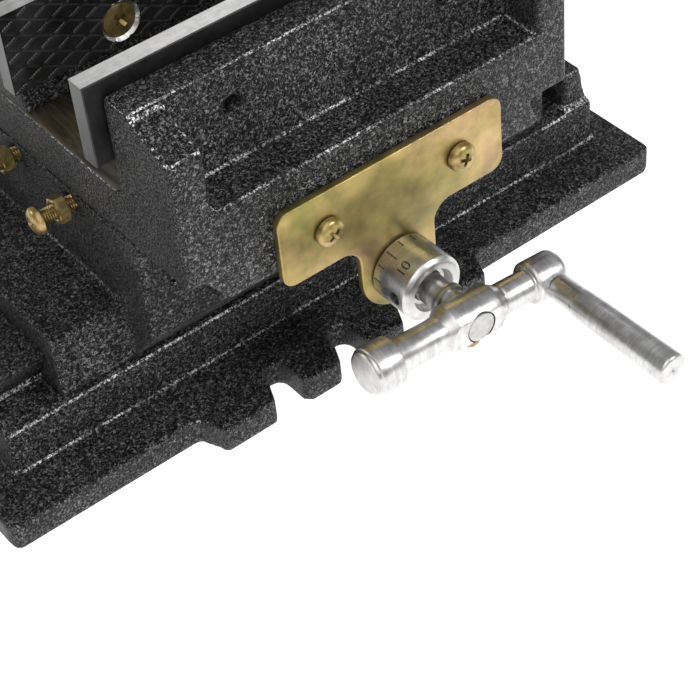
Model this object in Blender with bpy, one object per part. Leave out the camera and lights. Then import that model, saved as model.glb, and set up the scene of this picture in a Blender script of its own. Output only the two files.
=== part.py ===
"""Six-inch compound (cross-slide) machine vise.

Three castings ride on one another on 60-degree dovetails: the base, the saddle that slides
along X on it, and the vise body that slides along Y on the saddle. A lead screw with a dial
and a crank drives each slide. A third screw, at the back, drives the moving jaw along the
bed of the vise body. +X runs along the jaws, -Y is the front and +Z is up. The origin is the
centre of the base's bottom face. Dimensions below are in millimetres, the model in metres.
"""
import math

import bmesh
import bpy
from mathutils import Matrix, Vector

MM = 0.001
GAP = 0.3
TAN30 = math.tan(math.radians(30))
COS30 = math.cos(math.radians(30))

# base
BASE_LEFT = -133.0
BASE_RIGHT = 130.4
BASE_HALF_DEPTH = 74.0
BASE_CORNER = 3.0
FLANGE_HEIGHT = 10.4
LUG_REACH = 10.0
LUG_LEFT = -61.0
LUG_RIGHT = 45.0
LUG_SLANT = 4.0
NOTCH_CENTRES = (-34.0, -8.0, 18.0)
NOTCH_WIDTH = 8.6
NOTCH_INSET = 4.6
NOTCH_FLARE = 3.4
BLOCK_LEFT = -120.0
BLOCK_RIGHT = 119.0
BLOCK_FRONT = -56.0
BLOCK_BACK = 63.0
LEDGE_HEIGHT = 27.0
RAIL_HEIGHT = 40.8
RAIL_FOOT = 39.2
RAIL_RIGHT = 108.0
CHANNEL_HALF = 14.5
CHANNEL_FLOOR = 13.0
CHANNEL_LEFT = -108.0

# saddle
WING_HALF = 98.0
WING_FRONT = -54.5
WING_BACK = 63.0
WING_TOP = 51.0
WAYS_HALF = 71.3
WAYS_FRONT = -67.0
WAYS_BACK = 67.0
WAYS_FLOOR = 59.5
CORBEL_HEIGHT = 43.0
PARTING = 81.0
GIB_THICKNESS = 4.5
GIB_WIDTH = GIB_THICKNESS / COS30
SIDE_GAP = GAP / COS30
GIB_SCREW_PITCH = 32.0

# vise body
NECK_HALF = 43.0
BODY_HALF = 71.3
BODY_FRONT = -95.5
BODY_BACK = 166.0
MALE_BOTTOM = WAYS_FLOOR + GAP
BODY_BOTTOM = PARTING + GAP
BED_HEIGHT = 99.0
BODY_CHANNEL_HALF = 29.0
APRON_BOTTOM = 71.0
APRON_THICKNESS = 12.0
RIM_HEIGHT = 104.0
WALL_FOOT = -80.3
WALL_HEAD = -77.6
JAW_BACK = -65.6
JAW_TOP = 133.9
RIB_WIDTH = 12.0
RIB_FRONT_TOP = 125.5
END_BLOCK_FRONT = 141.0
BED_SLOT_HALF = 10.2
BED_SLOT_FRONT = -50.0
BED_SLOT_BACK = 136.0

# jaws
PLATE_HALF = 76.2
PLATE_THICKNESS = 6.5
PLATE_BOTTOM = 111.4
PLATE_TOP = 138.6
MOVING_LIFT = 1.2
PLATE_SCREW_X = 38.0
PLATE_SCREW_Z = 120.0
OPENING = 37.0
FIXED_FACE = JAW_BACK + GAP + PLATE_THICKNESS
MOVING_FACE = FIXED_FACE + OPENING
MOVER_FRONT = MOVING_FACE + PLATE_THICKNESS + GAP
MOVER_DEPTH = 47.0
MOVER_BACK = MOVER_FRONT + MOVER_DEPTH
KEEPER_HALF = 26.0
KEEPER_THICKNESS = 6.2

# lead screws, dials and cranks
UPPER_AXIS = 51.1
LOWER_AXIS = 28.0
CLAMP_AXIS = 115.0
SCREW_RADIUS = 6.0
JOURNAL_RADIUS = 4.9
CLAMP_RADIUS = 8.0
BRACKET_THICKNESS = 2.7
COLLAR_RADIUS = 11.1
COLLAR_LENGTH = 15.6
ARM_REACH = 34.6
ARM_TURN = -3.5
HUB_RADIUS = 7.5
HUB_FLAT = 6.0
KNOB_RADIUS = 7.6
BOSS_RADIUS = 6.9
GRIP_OFFSET = 29.4
GRIP_LENGTH = 47.6
BRACKET_SCREW_X = 24.8
BRACKET_SCREW_Z = 79.5
LOWER_SCREW_Y = 28.0

MATERIALS = {
    "hammertone": ((0.020, 0.020, 0.021, 1), 0.42, 0.3),
    "zinc": ((0.55, 0.42, 0.18, 1), 0.35, 0.9),
    "bright_steel": ((0.62, 0.61, 0.59, 1), 0.25, 1.0),
    "jaw_steel": ((0.32, 0.31, 0.31, 1), 0.45, 0.9),
    "bronze": ((0.42, 0.27, 0.12, 1), 0.45, 0.9),
}


# ---------------------------------------------------------------- building tools

def clear_scene():
    for thing in list(bpy.data.objects):
        bpy.data.objects.remove(thing, do_unlink=True)


def material(name):
    found = bpy.data.materials.get(name)
    if found:
        return found
    colour, roughness, metallic = MATERIALS[name]
    made = bpy.data.materials.new(name)
    made.use_nodes = True
    shader = made.node_tree.nodes["Principled BSDF"]
    shader.inputs["Base Color"].default_value = colour
    shader.inputs["Roughness"].default_value = roughness
    shader.inputs["Metallic"].default_value = metallic
    return made


def frame(origin, outward):
    """Local axes of a screw: W points outward, V up, U along the crank arm."""
    w = Vector(outward)
    v = Vector((0, 0, 1))
    u = v.cross(w)
    turn = Matrix((u, v, w)).transposed().to_4x4()
    return Matrix.Translation(Vector(origin)) @ turn


def along(origin, direction):
    """Frame whose Z axis runs along a direction, for a turned piece."""
    turn = Vector(direction).to_track_quat("Z", "Y").to_matrix().to_4x4()
    return Matrix.Translation(Vector(origin)) @ turn


def body_frame(name, location, parent=None):
    """An empty on a body's joint axis, which its pieces are parented to."""
    empty = bpy.data.objects.new(name, None)
    bpy.context.scene.collection.objects.link(empty)
    empty.empty_display_size = 0.02
    empty["place"] = location
    empty.location = Vector(location) * MM
    if parent:
        empty.parent = parent
        empty.location -= Vector(parent["place"]) * MM
    return empty


def finish_mesh(name, mesh_data, finish, parent, origin, smooth):
    """Turn a bmesh in millimetres into a named object with its origin where asked."""
    bmesh.ops.recalc_face_normals(mesh_data, faces=mesh_data.faces)
    bmesh.ops.translate(mesh_data, verts=mesh_data.verts, vec=-Vector(origin))
    bmesh.ops.scale(mesh_data, verts=mesh_data.verts, vec=(MM, MM, MM))
    mesh = bpy.data.meshes.new(name)
    mesh_data.to_mesh(mesh)
    mesh_data.free()
    if smooth:
        mesh.shade_smooth()
        mesh.set_sharp_from_angle(angle=math.radians(35))
    made = bpy.data.objects.new(name, mesh)
    bpy.context.scene.collection.objects.link(made)
    made.location = Vector(origin) * MM
    if parent:
        made.parent = parent
        made.location -= Vector(parent["place"]) * MM
    if finish:
        mesh.materials.append(material(finish))
    return made


def prism_points(axis, a, b, t):
    """A profile point on a plane across X, Y or Z."""
    return {"X": (t, a, b), "Y": (a, t, b), "Z": (a, b, t)}[axis]


def add_prism(mesh_data, axis, profile, low, high):
    near = [mesh_data.verts.new(prism_points(axis, a, b, low)) for a, b in profile]
    far = [mesh_data.verts.new(prism_points(axis, a, b, high)) for a, b in profile]
    count = len(profile)
    mesh_data.faces.new(near)
    mesh_data.faces.new(far)
    for i in range(count):
        j = (i + 1) % count
        mesh_data.faces.new((near[i], near[j], far[j], far[i]))


def add_turned(mesh_data, outline, place, segments=24, ring=False):
    """Spin (along, radius) points about the Z axis of place. A ring has an open bore."""
    rows = []
    for t, r in outline:
        if r == 0:
            rows.append([mesh_data.verts.new(place @ Vector((0, 0, t)))])
            continue
        angles = [2 * math.pi * k / segments for k in range(segments)]
        rows.append([mesh_data.verts.new(place @ Vector((r * math.cos(a), r * math.sin(a), t)))
                     for a in angles])
    pairs = list(zip(rows, rows[1:]))
    if ring:
        pairs.append((rows[-1], rows[0]))
    for low, high in pairs:
        for k in range(segments):
            n = (k + 1) % segments
            if len(low) == 1:
                mesh_data.faces.new((low[0], high[k], high[n]))
            elif len(high) == 1:
                mesh_data.faces.new((low[k], low[n], high[0]))
            else:
                mesh_data.faces.new((low[k], low[n], high[n], high[k]))


def prism(name, axis, profile, low, high, finish=None, parent=None, origin=(0, 0, 0)):
    mesh_data = bmesh.new()
    add_prism(mesh_data, axis, profile, low, high)
    return finish_mesh(name, mesh_data, finish, parent, origin, smooth=False)


def rectangle(a0, a1, b0, b1):
    return [(a0, b0), (a1, b0), (a1, b1), (a0, b1)]


def box(name, x, y, z, finish=None, parent=None, origin=(0, 0, 0)):
    return prism(name, "X", rectangle(*y, *z), *x, finish, parent, origin)


def turned(name, outline, place, finish, parent, origin, segments=24, ring=False):
    mesh_data = bmesh.new()
    add_turned(mesh_data, outline, place, segments, ring)
    return finish_mesh(name, mesh_data, finish, parent, origin, smooth=True)


def turned_set(name, outline, places, finish, parent, segments=12):
    """The same turned fastener at several places, numbered from 1."""
    for k, place in enumerate(places, 1):
        turned("%s_%d" % (name, k), outline, place, finish, parent, place.translation, segments)


def hole(name, place, radius, low, high, segments=16):
    mesh_data = bmesh.new()
    add_turned(mesh_data, [(low, 0), (low, radius), (high, radius), (high, 0)], place, segments)
    return finish_mesh(name, mesh_data, None, None, (0, 0, 0), smooth=False)


def combine(target, operation, *tools):
    """Add or cut tool shapes, which stay in the file as hidden guides."""
    for tool in tools:
        tool.hide_render = True
        tool.display_type = "WIRE"
        step = target.modifiers.new(tool.name, "BOOLEAN")
        step.operation = operation
        step.solver = "EXACT"
        step.object = tool
    return target


def arc(cx, cy, radius, start, end, steps):
    """Points on an arc between two angles in degrees."""
    points = []
    for k in range(steps + 1):
        a = math.radians(start + (end - start) * k / steps)
        points.append((cx + radius * math.cos(a), cy + radius * math.sin(a)))
    return points


# ---------------------------------------------------------------- fasteners

def pan_head(radius, height, shank, length):
    """Outline of a pan-head screw, from the tip at -length to the crown."""
    return [(-length, 0), (-length, shank * 0.7), (-length + shank * 0.5, shank), (0, shank),
            (0, radius), (height * 0.55, radius), (height, radius * 0.62), (height, 0)]


def flat_head(radius, shank, length):
    """Outline of a countersunk screw whose head is flush with zero."""
    depth = radius - shank
    return [(-length, 0), (-length, shank), (-depth, shank), (0, radius), (0, 0)]


def cap_head(radius, height, shank, length):
    return [(-length, 0), (-length, shank), (0, shank), (0, radius), (height, radius), (height, 0)]


def lock_nuts(name, places, parent):
    """Hexagon nuts 8 mm across flats and 4 mm thick, bored clear of an M5 screw."""
    corner = 8.0 / math.sqrt(3)
    turns = [math.radians(a) for a in range(0, 360, 30)]
    outer = [corner * (COS30 if k % 2 else 1) for k in range(12)]
    for number, place in enumerate(places, 1):
        mesh_data = bmesh.new()
        rows = []
        for t, radii in ((0, outer), (4, outer), (4, [2.8] * 12), (0, [2.8] * 12)):
            rows.append([mesh_data.verts.new(place @ Vector((r * math.cos(a), r * math.sin(a), t)))
                         for a, r in zip(turns, radii)])
        for k, row in enumerate(rows):
            nearby = rows[(k + 1) % 4]
            for i in range(12):
                j = (i + 1) % 12
                mesh_data.faces.new((row[i], row[j], nearby[j], nearby[i]))
        finish_mesh("%s_%d" % (name, number), mesh_data, "zinc", parent, place.translation, False)


# ---------------------------------------------------------------- base

def base_outline():
    """Plan of the flange: a lug with three open bolt notches on the front and on the back."""
    def edge(side):
        outer = side * (BASE_HALF_DEPTH + LUG_REACH)
        inner = side * (BASE_HALF_DEPTH - NOTCH_INSET)
        flange = side * BASE_HALF_DEPTH
        half = NOTCH_WIDTH / 2
        points = [(LUG_LEFT - LUG_SLANT, flange), (LUG_LEFT, outer)]
        for centre in NOTCH_CENTRES:
            points.append((centre - half - NOTCH_FLARE, outer))
            points.append((centre - half, outer - side * 8))
            turn = inner + side * half
            points.extend(arc(centre, turn, half, 180, 180 + side * 180, 6))
            points.append((centre + half, outer - side * 2))
            points.append((centre + half + 2, outer))
        points.extend([(LUG_RIGHT, outer), (LUG_RIGHT + LUG_SLANT, flange)])
        return points
    left, right = BASE_LEFT + BASE_CORNER, BASE_RIGHT - BASE_CORNER
    deep = BASE_HALF_DEPTH - BASE_CORNER
    front = arc(left, -deep, BASE_CORNER, 180, 270, 3) + edge(-1)
    front += arc(right, -deep, BASE_CORNER, 270, 360, 3)
    back = arc(right, deep, BASE_CORNER, 0, 90, 3) + edge(1)[::-1]
    back += arc(left, deep, BASE_CORNER, 90, 180, 3)
    return front + back


def make_base(body):
    base = prism("base_casting", "Z", base_outline(), 0, FLANGE_HEIGHT, "hammertone", body)
    block = prism("base_block_shape", "X", rectangle(BLOCK_FRONT, BLOCK_BACK, 5, LEDGE_HEIGHT),
                  BLOCK_LEFT, BLOCK_RIGHT)
    rise = (RAIL_HEIGHT - LEDGE_HEIGHT) * TAN30
    head = RAIL_FOOT + rise
    rail = prism("base_rail_shape", "X",
                 [(-RAIL_FOOT, 20), (RAIL_FOOT, 20), (RAIL_FOOT, LEDGE_HEIGHT),
                  (head, RAIL_HEIGHT), (-head, RAIL_HEIGHT), (-RAIL_FOOT, LEDGE_HEIGHT)],
                 BLOCK_LEFT, RAIL_RIGHT + 2)
    stop = prism("base_stop_shape", "Y",
                 [(RAIL_RIGHT, 20), (118.5, 20), (118.5, LEDGE_HEIGHT), (116, RAIL_HEIGHT),
                  (RAIL_RIGHT, RAIL_HEIGHT)], -53.5, 58)
    channel = box("base_channel_cut", (CHANNEL_LEFT, RAIL_RIGHT - 4),
                  (-CHANNEL_HALF, CHANNEL_HALF), (CHANNEL_FLOOR, RAIL_HEIGHT + 5))
    axis = along((BLOCK_LEFT, 0, LOWER_AXIS), (1, 0, 0))
    bore = hole("base_screw_bore", axis, SCREW_RADIUS + GAP, -5, 20, 24)
    screws = [hole("base_tap_%d" % k, along((BLOCK_LEFT, y, LOWER_AXIS), (1, 0, 0)), 2.8, -2, 12)
              for k, y in enumerate((-LOWER_SCREW_Y, LOWER_SCREW_Y))]
    combine(base, "UNION", block, rail, stop)
    combine(base, "DIFFERENCE", channel, bore, *screws)
    return base


# ---------------------------------------------------------------- saddle

def male_half(z):
    """Half width of the vise body's male dovetail at a height."""
    return NECK_HALF + (BODY_BOTTOM - z) * TAN30


def rail_half(z):
    return RAIL_FOOT + (z - LEDGE_HEIGHT) * TAN30


def wing_profile():
    """Section across the saddle's lower way, with room for the gib at the back."""
    low, top = LEDGE_HEIGHT + GAP, RAIL_HEIGHT + GAP
    extra = 2 * SIDE_GAP + GIB_WIDTH
    return [(WING_FRONT, low), (-rail_half(low) - SIDE_GAP, low),
            (-rail_half(top) - SIDE_GAP, top), (rail_half(top) + extra, top),
            (rail_half(low) + extra, low), (WING_BACK, low),
            (WING_BACK, WING_TOP), (WING_FRONT, WING_TOP)]


def ways_profile():
    """Section across the saddle's upper way, with room for the gib on the left."""
    extra = 2 * SIDE_GAP + GIB_WIDTH
    return [(-WAYS_HALF, WING_TOP - 4), (WAYS_HALF, WING_TOP - 4), (WAYS_HALF, PARTING),
            (male_half(PARTING) + SIDE_GAP, PARTING),
            (male_half(WAYS_FLOOR) + SIDE_GAP, WAYS_FLOOR),
            (-male_half(WAYS_FLOOR) - extra, WAYS_FLOOR),
            (-male_half(PARTING) - extra, PARTING), (-WAYS_HALF, PARTING)]


def gib_screw_places():
    """Lock-screw positions: along Y on the left wall, along X on the back wall."""
    upper = [-GIB_SCREW_PITCH, 0, GIB_SCREW_PITCH]
    lower = [-60, 0, 60]
    return upper, lower


UPPER_GIB_Z = 76.0
LOWER_GIB_Z = 36.0


def make_saddle(body):
    saddle = prism("saddle_casting", "X", wing_profile(), -WING_HALF, WING_HALF,
                   "hammertone", body)
    ways = prism("saddle_ways_shape", "Y", ways_profile(), WAYS_FRONT, WAYS_BACK)
    corbel = prism("saddle_corbel_shape", "X",
                   [(WAYS_FRONT, WING_TOP), (WAYS_FRONT, CORBEL_HEIGHT),
                    (WING_FRONT, LEDGE_HEIGHT + 1.5), (-50, LEDGE_HEIGHT + 1.5),
                    (-50, WING_TOP)], -WAYS_HALF, WAYS_HALF)
    groove = box("saddle_groove_cut", (-8, 8), (-80, 80), (43.6, WAYS_FLOOR + 2))
    pocket = box("saddle_pocket_cut", (-14.8, 14.8), (-62.3, -39.7), (43.6, WAYS_FLOOR + 2))
    upper, lower = gib_screw_places()
    taps = []
    for k, y in enumerate(upper):
        place = along((-WAYS_HALF, y, UPPER_GIB_Z), (1, 0, 0))
        taps.append(hole("saddle_gib_tap_%d" % k, place, 2.8, -2, 25))
    for k, x in enumerate(lower):
        place = along((x, WING_BACK, LOWER_GIB_Z), (0, -1, 0))
        taps.append(hole("saddle_rear_tap_%d" % k, place, 2.8, -2, 14))
    for k, x in enumerate((-21, 21)):
        place = along((x, -51, WAYS_FLOOR), (0, 0, -1))
        taps.append(hole("saddle_nut_tap_%d" % k, place, 2.8, -2, 12))
    for k, x in enumerate((32, 52)):
        place = along((x, 0, WAYS_FLOOR), (0, 0, -1))
        taps.append(hole("saddle_nut_bore_%d" % k, place, 2.8, -2, 25))
        taps.append(hole("saddle_nut_seat_%d" % k, place, 5.0, -2, 6))
    combine(saddle, "UNION", ways, corbel)
    combine(saddle, "DIFFERENCE", groove, pocket, *taps)
    return saddle


def make_gibs(body):
    """Two tapered-section strips, their lock screws and nuts."""
    z0, z1 = WAYS_FLOOR + GAP, PARTING - 0.7
    edge = [(-male_half(z0) - SIDE_GAP, z0), (-male_half(z1) - SIDE_GAP, z1)]
    section = edge + [(x - GIB_WIDTH, z) for x, z in edge[::-1]]
    prism("upper_gib_strip", "Y", section, WAYS_FRONT + 2, WAYS_BACK - 2, "jaw_steel", body)
    z0, z1 = LEDGE_HEIGHT + 0.7, RAIL_HEIGHT
    edge = [(rail_half(z0) + SIDE_GAP, z0), (rail_half(z1) + SIDE_GAP, z1)]
    section = edge + [(y + GIB_WIDTH, z) for y, z in edge[::-1]]
    prism("lower_gib_strip", "X", section, -WING_HALF + 2, WING_HALF - 2, "jaw_steel", body)

    upper, lower = gib_screw_places()
    reach = male_half(UPPER_GIB_Z) + GIB_WIDTH + SIDE_GAP + 1.9
    length = 82.5 - reach
    turned_set("upper_gib_screw", pan_head(4.6, 3.0, 2.5, length),
               [along((-82.5, y, UPPER_GIB_Z), (-1, 0, 0)) for y in upper], "zinc", body)
    lock_nuts("upper_gib_lock_nut", [along((-73.4, y, UPPER_GIB_Z), (-1, 0, 0)) for y in upper],
              body)

    reach = rail_half(LOWER_GIB_Z) + GIB_WIDTH + SIDE_GAP + 1.9
    head = WING_BACK + 9
    turned_set("lower_gib_screw", pan_head(4.6, 3.0, 2.5, head - reach),
               [along((x, head, LOWER_GIB_Z), (0, 1, 0)) for x in lower], "zinc", body)
    seat = WING_BACK + 2
    lock_nuts("lower_gib_lock_nut", [along((x, seat, LOWER_GIB_Z), (0, 1, 0)) for x in lower],
              body)


def make_lead_nuts(body):
    """The upper nut sits in the saddle's groove, the lower one hangs in the base's channel."""
    section = [(-14.5, 43.9), (14.5, 43.9), (14.5, WAYS_FLOOR + GAP), (27, WAYS_FLOOR + GAP),
               (27, 64), (14.5, 64), (14.5, 66), (-14.5, 66), (-14.5, 64), (-27, 64),
               (-27, WAYS_FLOOR + GAP), (-14.5, WAYS_FLOOR + GAP)]
    origin = (0, -51, UPPER_AXIS)
    upper = prism("upper_lead_nut", "Y", section, -62, -40, "bronze", body, origin)
    bore = hole("upper_nut_bore", along((0, -51, UPPER_AXIS), (0, 1, 0)),
                SCREW_RADIUS + GAP, -15, 15, 24)
    taps = [hole("upper_nut_tap_%d" % k, along((x, -51, 70), (0, 0, -1)), 2.8, 0, 20)
            for k, x in enumerate((-21, 21))]
    combine(upper, "DIFFERENCE", bore, *taps)
    turned_set("upper_nut_screw", cap_head(4.2, 4.0, 2.5, 14),
               [along((x, -51, 64 + GAP), (0, 0, 1)) for x in (-21, 21)], "jaw_steel", body)

    lower = box("lower_lead_nut", (24, 60), (-12, 12), (17.5, RAIL_HEIGHT), "bronze", body,
                (42, 0, LOWER_AXIS))
    bore = hole("lower_nut_bore", along((42, 0, LOWER_AXIS), (1, 0, 0)),
                SCREW_RADIUS + GAP, -25, 25, 24)
    taps = [hole("lower_nut_tap_%d" % k, along((x, 0, RAIL_HEIGHT), (0, 0, -1)), 2.8, -2, 5)
            for k, x in enumerate((32, 52))]
    combine(lower, "DIFFERENCE", bore, *taps)
    seat = WAYS_FLOOR - 6 + GAP
    turned_set("lower_nut_screw", cap_head(4.2, 4.0, 2.5, seat - RAIL_HEIGHT + 4),
               [along((x, 0, seat), (0, 0, 1)) for x in (32, 52)], "jaw_steel", body)


# ---------------------------------------------------------------- vise body

def bed_profile():
    """Section of the bed with its male dovetail and the channel under it."""
    low, top, half = MALE_BOTTOM, BODY_BOTTOM, BODY_CHANNEL_HALF
    return [(-BODY_HALF, top), (-male_half(top), top), (-male_half(low), low), (-half, low),
            (-half, top), (half, top), (half, low), (male_half(low), low),
            (male_half(top), top), (BODY_HALF, top), (BODY_HALF, BED_HEIGHT),
            (-BODY_HALF, BED_HEIGHT)]


def make_vise_body(body):
    bed = prism("vise_body_casting", "Y", bed_profile(), BODY_FRONT + APRON_THICKNESS,
                BODY_BACK, "hammertone", body)
    front = box("body_front_shape", (-BODY_HALF, BODY_HALF), (BODY_FRONT, JAW_BACK),
                (BODY_BOTTOM, RIM_HEIGHT))
    apron = prism("body_apron_shape", "Y",
                  [(-65.4, BODY_BOTTOM + 4), (-65.4, BODY_BOTTOM), (-57.8, APRON_BOTTOM),
                   (59.9, APRON_BOTTOM), (55.9, BODY_BOTTOM), (55.9, BODY_BOTTOM + 4)],
                  BODY_FRONT, BODY_FRONT + APRON_THICKNESS)
    wall = prism("body_wall_shape", "X",
                 [(WALL_FOOT, RIM_HEIGHT - 4), (WALL_FOOT, RIM_HEIGHT), (WALL_HEAD, JAW_TOP),
                  (JAW_BACK, JAW_TOP), (JAW_BACK, RIM_HEIGHT - 4)], -BODY_HALF, BODY_HALF)
    rib = [(BODY_FRONT, RIM_HEIGHT - 4), (BODY_FRONT, RIB_FRONT_TOP),
           (WALL_HEAD - 1, JAW_TOP - 2.5), (WALL_HEAD + 2, JAW_TOP - 2.5),
           (WALL_HEAD + 2, RIM_HEIGHT - 4)]
    left = prism("body_left_rib_shape", "X", rib, -BODY_HALF, -BODY_HALF + RIB_WIDTH)
    right = prism("body_right_rib_shape", "X", rib, BODY_HALF - RIB_WIDTH, BODY_HALF)
    block = prism("body_end_block_shape", "Y",
                  [(-58, BED_HEIGHT - 4), (58, BED_HEIGHT - 4), (58, BED_HEIGHT + 8),
                   (36, JAW_TOP), (-36, JAW_TOP), (-58, BED_HEIGHT + 8)],
                  END_BLOCK_FRONT, BODY_BACK)
    slot = box("body_slot_cut", (-BED_SLOT_HALF, BED_SLOT_HALF), (BED_SLOT_FRONT, BED_SLOT_BACK),
               (BODY_BOTTOM - 4, BED_HEIGHT + 4))
    cuts = [slot]
    for k, x in enumerate((-PLATE_SCREW_X, PLATE_SCREW_X)):
        place = along((x, JAW_BACK, PLATE_SCREW_Z), (0, -1, 0))
        cuts.append(hole("body_plate_tap_%d" % k, place, 3.3, -2, 20))
    for k, x in enumerate((-BRACKET_SCREW_X, BRACKET_SCREW_X)):
        place = along((x, BODY_FRONT, BRACKET_SCREW_Z), (0, 1, 0))
        cuts.append(hole("body_bracket_tap_%d" % k, place, 2.8, -2, 11))
    place = along((0, END_BLOCK_FRONT, CLAMP_AXIS), (0, 1, 0))
    cuts.append(hole("body_nut_bore", place, 12.3, -5, 40, 24))
    combine(bed, "UNION", front, apron, wall, left, right, block)
    combine(bed, "DIFFERENCE", *cuts)
    nut = [(0, CLAMP_RADIUS + GAP), (0, 12), (25 + GAP, 12), (25 + GAP, 16), (29, 16),
           (29, CLAMP_RADIUS + GAP)]
    turned("clamp_screw_nut", nut, place, "bronze", body,
           (0, END_BLOCK_FRONT, CLAMP_AXIS), 24, ring=True)
    return bed


def make_jaw_plate(name, screw_name, body, face, toward, lift=0.0):
    """A hard plate with two countersunk screws. toward is +1 when its face looks along +Y."""
    back = face - toward * PLATE_THICKNESS
    low, high = min(face, back), max(face, back)
    bottom, top = PLATE_BOTTOM + lift, PLATE_TOP + lift
    plate = box(name, (-PLATE_HALF, PLATE_HALF), (low, high), (bottom, top),
                "jaw_steel", body, (0, face, bottom))
    cuts = []
    places = []
    for k, x in enumerate((-PLATE_SCREW_X, PLATE_SCREW_X)):
        place = along((x, face, PLATE_SCREW_Z), (0, toward, 0))
        mesh_data = bmesh.new()
        sink = [(-12, 0), (-12, 3.3), (-3.3, 3.3), (1, 7.6), (1, 0)]
        add_turned(mesh_data, sink, place, 20)
        cuts.append(finish_mesh("%s_sink_%d" % (name, k), mesh_data, None, None, (0, 0, 0), False))
        places.append(along((x, face - toward * 0.9, PLATE_SCREW_Z), (0, toward, 0)))
    combine(plate, "DIFFERENCE", *cuts)
    turned_set(screw_name, flat_head(5.5, 2.9, 14), places, "zinc", body, 16)


# ---------------------------------------------------------------- moving jaw

def make_moving_jaw(body):
    front, back = MOVER_FRONT, MOVER_BACK
    foot = BED_HEIGHT + GAP
    jaw = box("moving_jaw_casting", (-BODY_HALF, BODY_HALF), (front, back), (foot, foot + 9),
              "hammertone", body, (0, front, CLAMP_AXIS))
    wall = prism("jaw_wall_shape", "X",
                 [(front, foot + 5), (back - 20, foot + 5), (back - 20, foot + 9),
                  (front + 13, 118), (front + 11, JAW_TOP), (front, JAW_TOP)],
                 -BODY_HALF, BODY_HALF)
    hub = prism("jaw_hub_shape", "Y",
                [(-24, foot + 4), (24, foot + 4), (20, 124), (12, 129), (-12, 129), (-20, 124)],
                front + 5, back)
    tongue = box("jaw_tongue_shape", (-9.9, 9.9), (front + 5, back - 2),
                 (BODY_BOTTOM, foot + 5))
    cuts = [hole("jaw_screw_pocket", along((0, back, CLAMP_AXIS), (0, -1, 0)),
                 CLAMP_RADIUS + GAP, -2, 19, 24)]
    for k, x in enumerate((-PLATE_SCREW_X, PLATE_SCREW_X)):
        place = along((x, front, PLATE_SCREW_Z), (0, 1, 0))
        cuts.append(hole("jaw_plate_tap_%d" % k, place, 3.3, -2, 14))
    for k, x in enumerate((-15, 15)):
        place = along((x, back, CLAMP_AXIS), (0, -1, 0))
        cuts.append(hole("jaw_retainer_tap_%d" % k, place, 2.8, -2, 12))
    for k, y in enumerate((front + 14, back - 12)):
        place = along((0, y, BODY_BOTTOM), (0, 0, 1))
        cuts.append(hole("jaw_keeper_tap_%d" % k, place, 3.3, -2, 14))
    combine(jaw, "UNION", wall, hub, tongue)
    combine(jaw, "DIFFERENCE", *cuts)

    top = BODY_BOTTOM - GAP
    keeper = box("jaw_keeper_plate", (-KEEPER_HALF, KEEPER_HALF), (front + 6, back - 3),
                 (top - KEEPER_THICKNESS, top), "jaw_steel", body, (0, front, top))
    holes = [hole("keeper_bore_%d" % k, along((0, y, top - 10), (0, 0, 1)), 3.3, 0, 20)
             for k, y in enumerate((front + 14, back - 12))]
    combine(keeper, "DIFFERENCE", *holes)
    seat = top - KEEPER_THICKNESS - GAP
    turned_set("jaw_keeper_bolt", cap_head(5.5, 3.5, 3.0, 17),
               [along((0, y, seat), (0, 0, -1)) for y in (front + 14, back - 12)],
               "jaw_steel", body)

    plate_back = back + GAP + 3.5
    retainer = prism("screw_retainer_plate", "Y",
                     [(-21, CLAMP_AXIS - 9), (21, CLAMP_AXIS - 9), (21, CLAMP_AXIS + 6),
                      (15, CLAMP_AXIS + 11), (-15, CLAMP_AXIS + 11), (-21, CLAMP_AXIS + 6)],
                     back + GAP, plate_back, "zinc", body, (0, back, CLAMP_AXIS))
    holes = [hole("retainer_bore", along((0, back, CLAMP_AXIS), (0, 1, 0)), 5.4, -2, 8, 24),
             box("retainer_fork_cut", (-5.4, 5.4), (back - 2, back + 8),
                 (CLAMP_AXIS - 20, CLAMP_AXIS))]
    holes += [hole("retainer_tap_%d" % k, along((x, back, CLAMP_AXIS), (0, 1, 0)), 2.8, -2, 8)
              for k, x in enumerate((-15, 15))]
    combine(retainer, "DIFFERENCE", *holes)
    turned_set("screw_retainer_screw", pan_head(4.6, 3.0, 2.5, 13),
               [along((x, plate_back + GAP, CLAMP_AXIS), (0, 1, 0)) for x in (-15, 15)],
               "zinc", body)


# ---------------------------------------------------------------- screws and cranks

def bracket_outline():
    """Plan of the upper bracket: a wide plate whose rounded neck hangs round the screw."""
    half, top, low, neck = 41.7, 93.3, 66.0, 14.2
    corner, fillet = 4.5, 6.5
    points = arc(half - corner, top - corner, corner, 0, 90, 3)
    points += arc(-half + corner, top - corner, corner, 90, 180, 3)
    points += arc(-half + corner, low + corner, corner, 180, 270, 3)
    points += arc(-neck - fillet, low - fillet, fillet, 90, 0, 3)
    points += arc(0, UPPER_AXIS, neck, 180, 360, 10)
    points += arc(neck + fillet, low - fillet, fillet, 180, 90, 3)
    points += arc(half - corner, low + corner, corner, 270, 360, 3)
    return points


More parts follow.
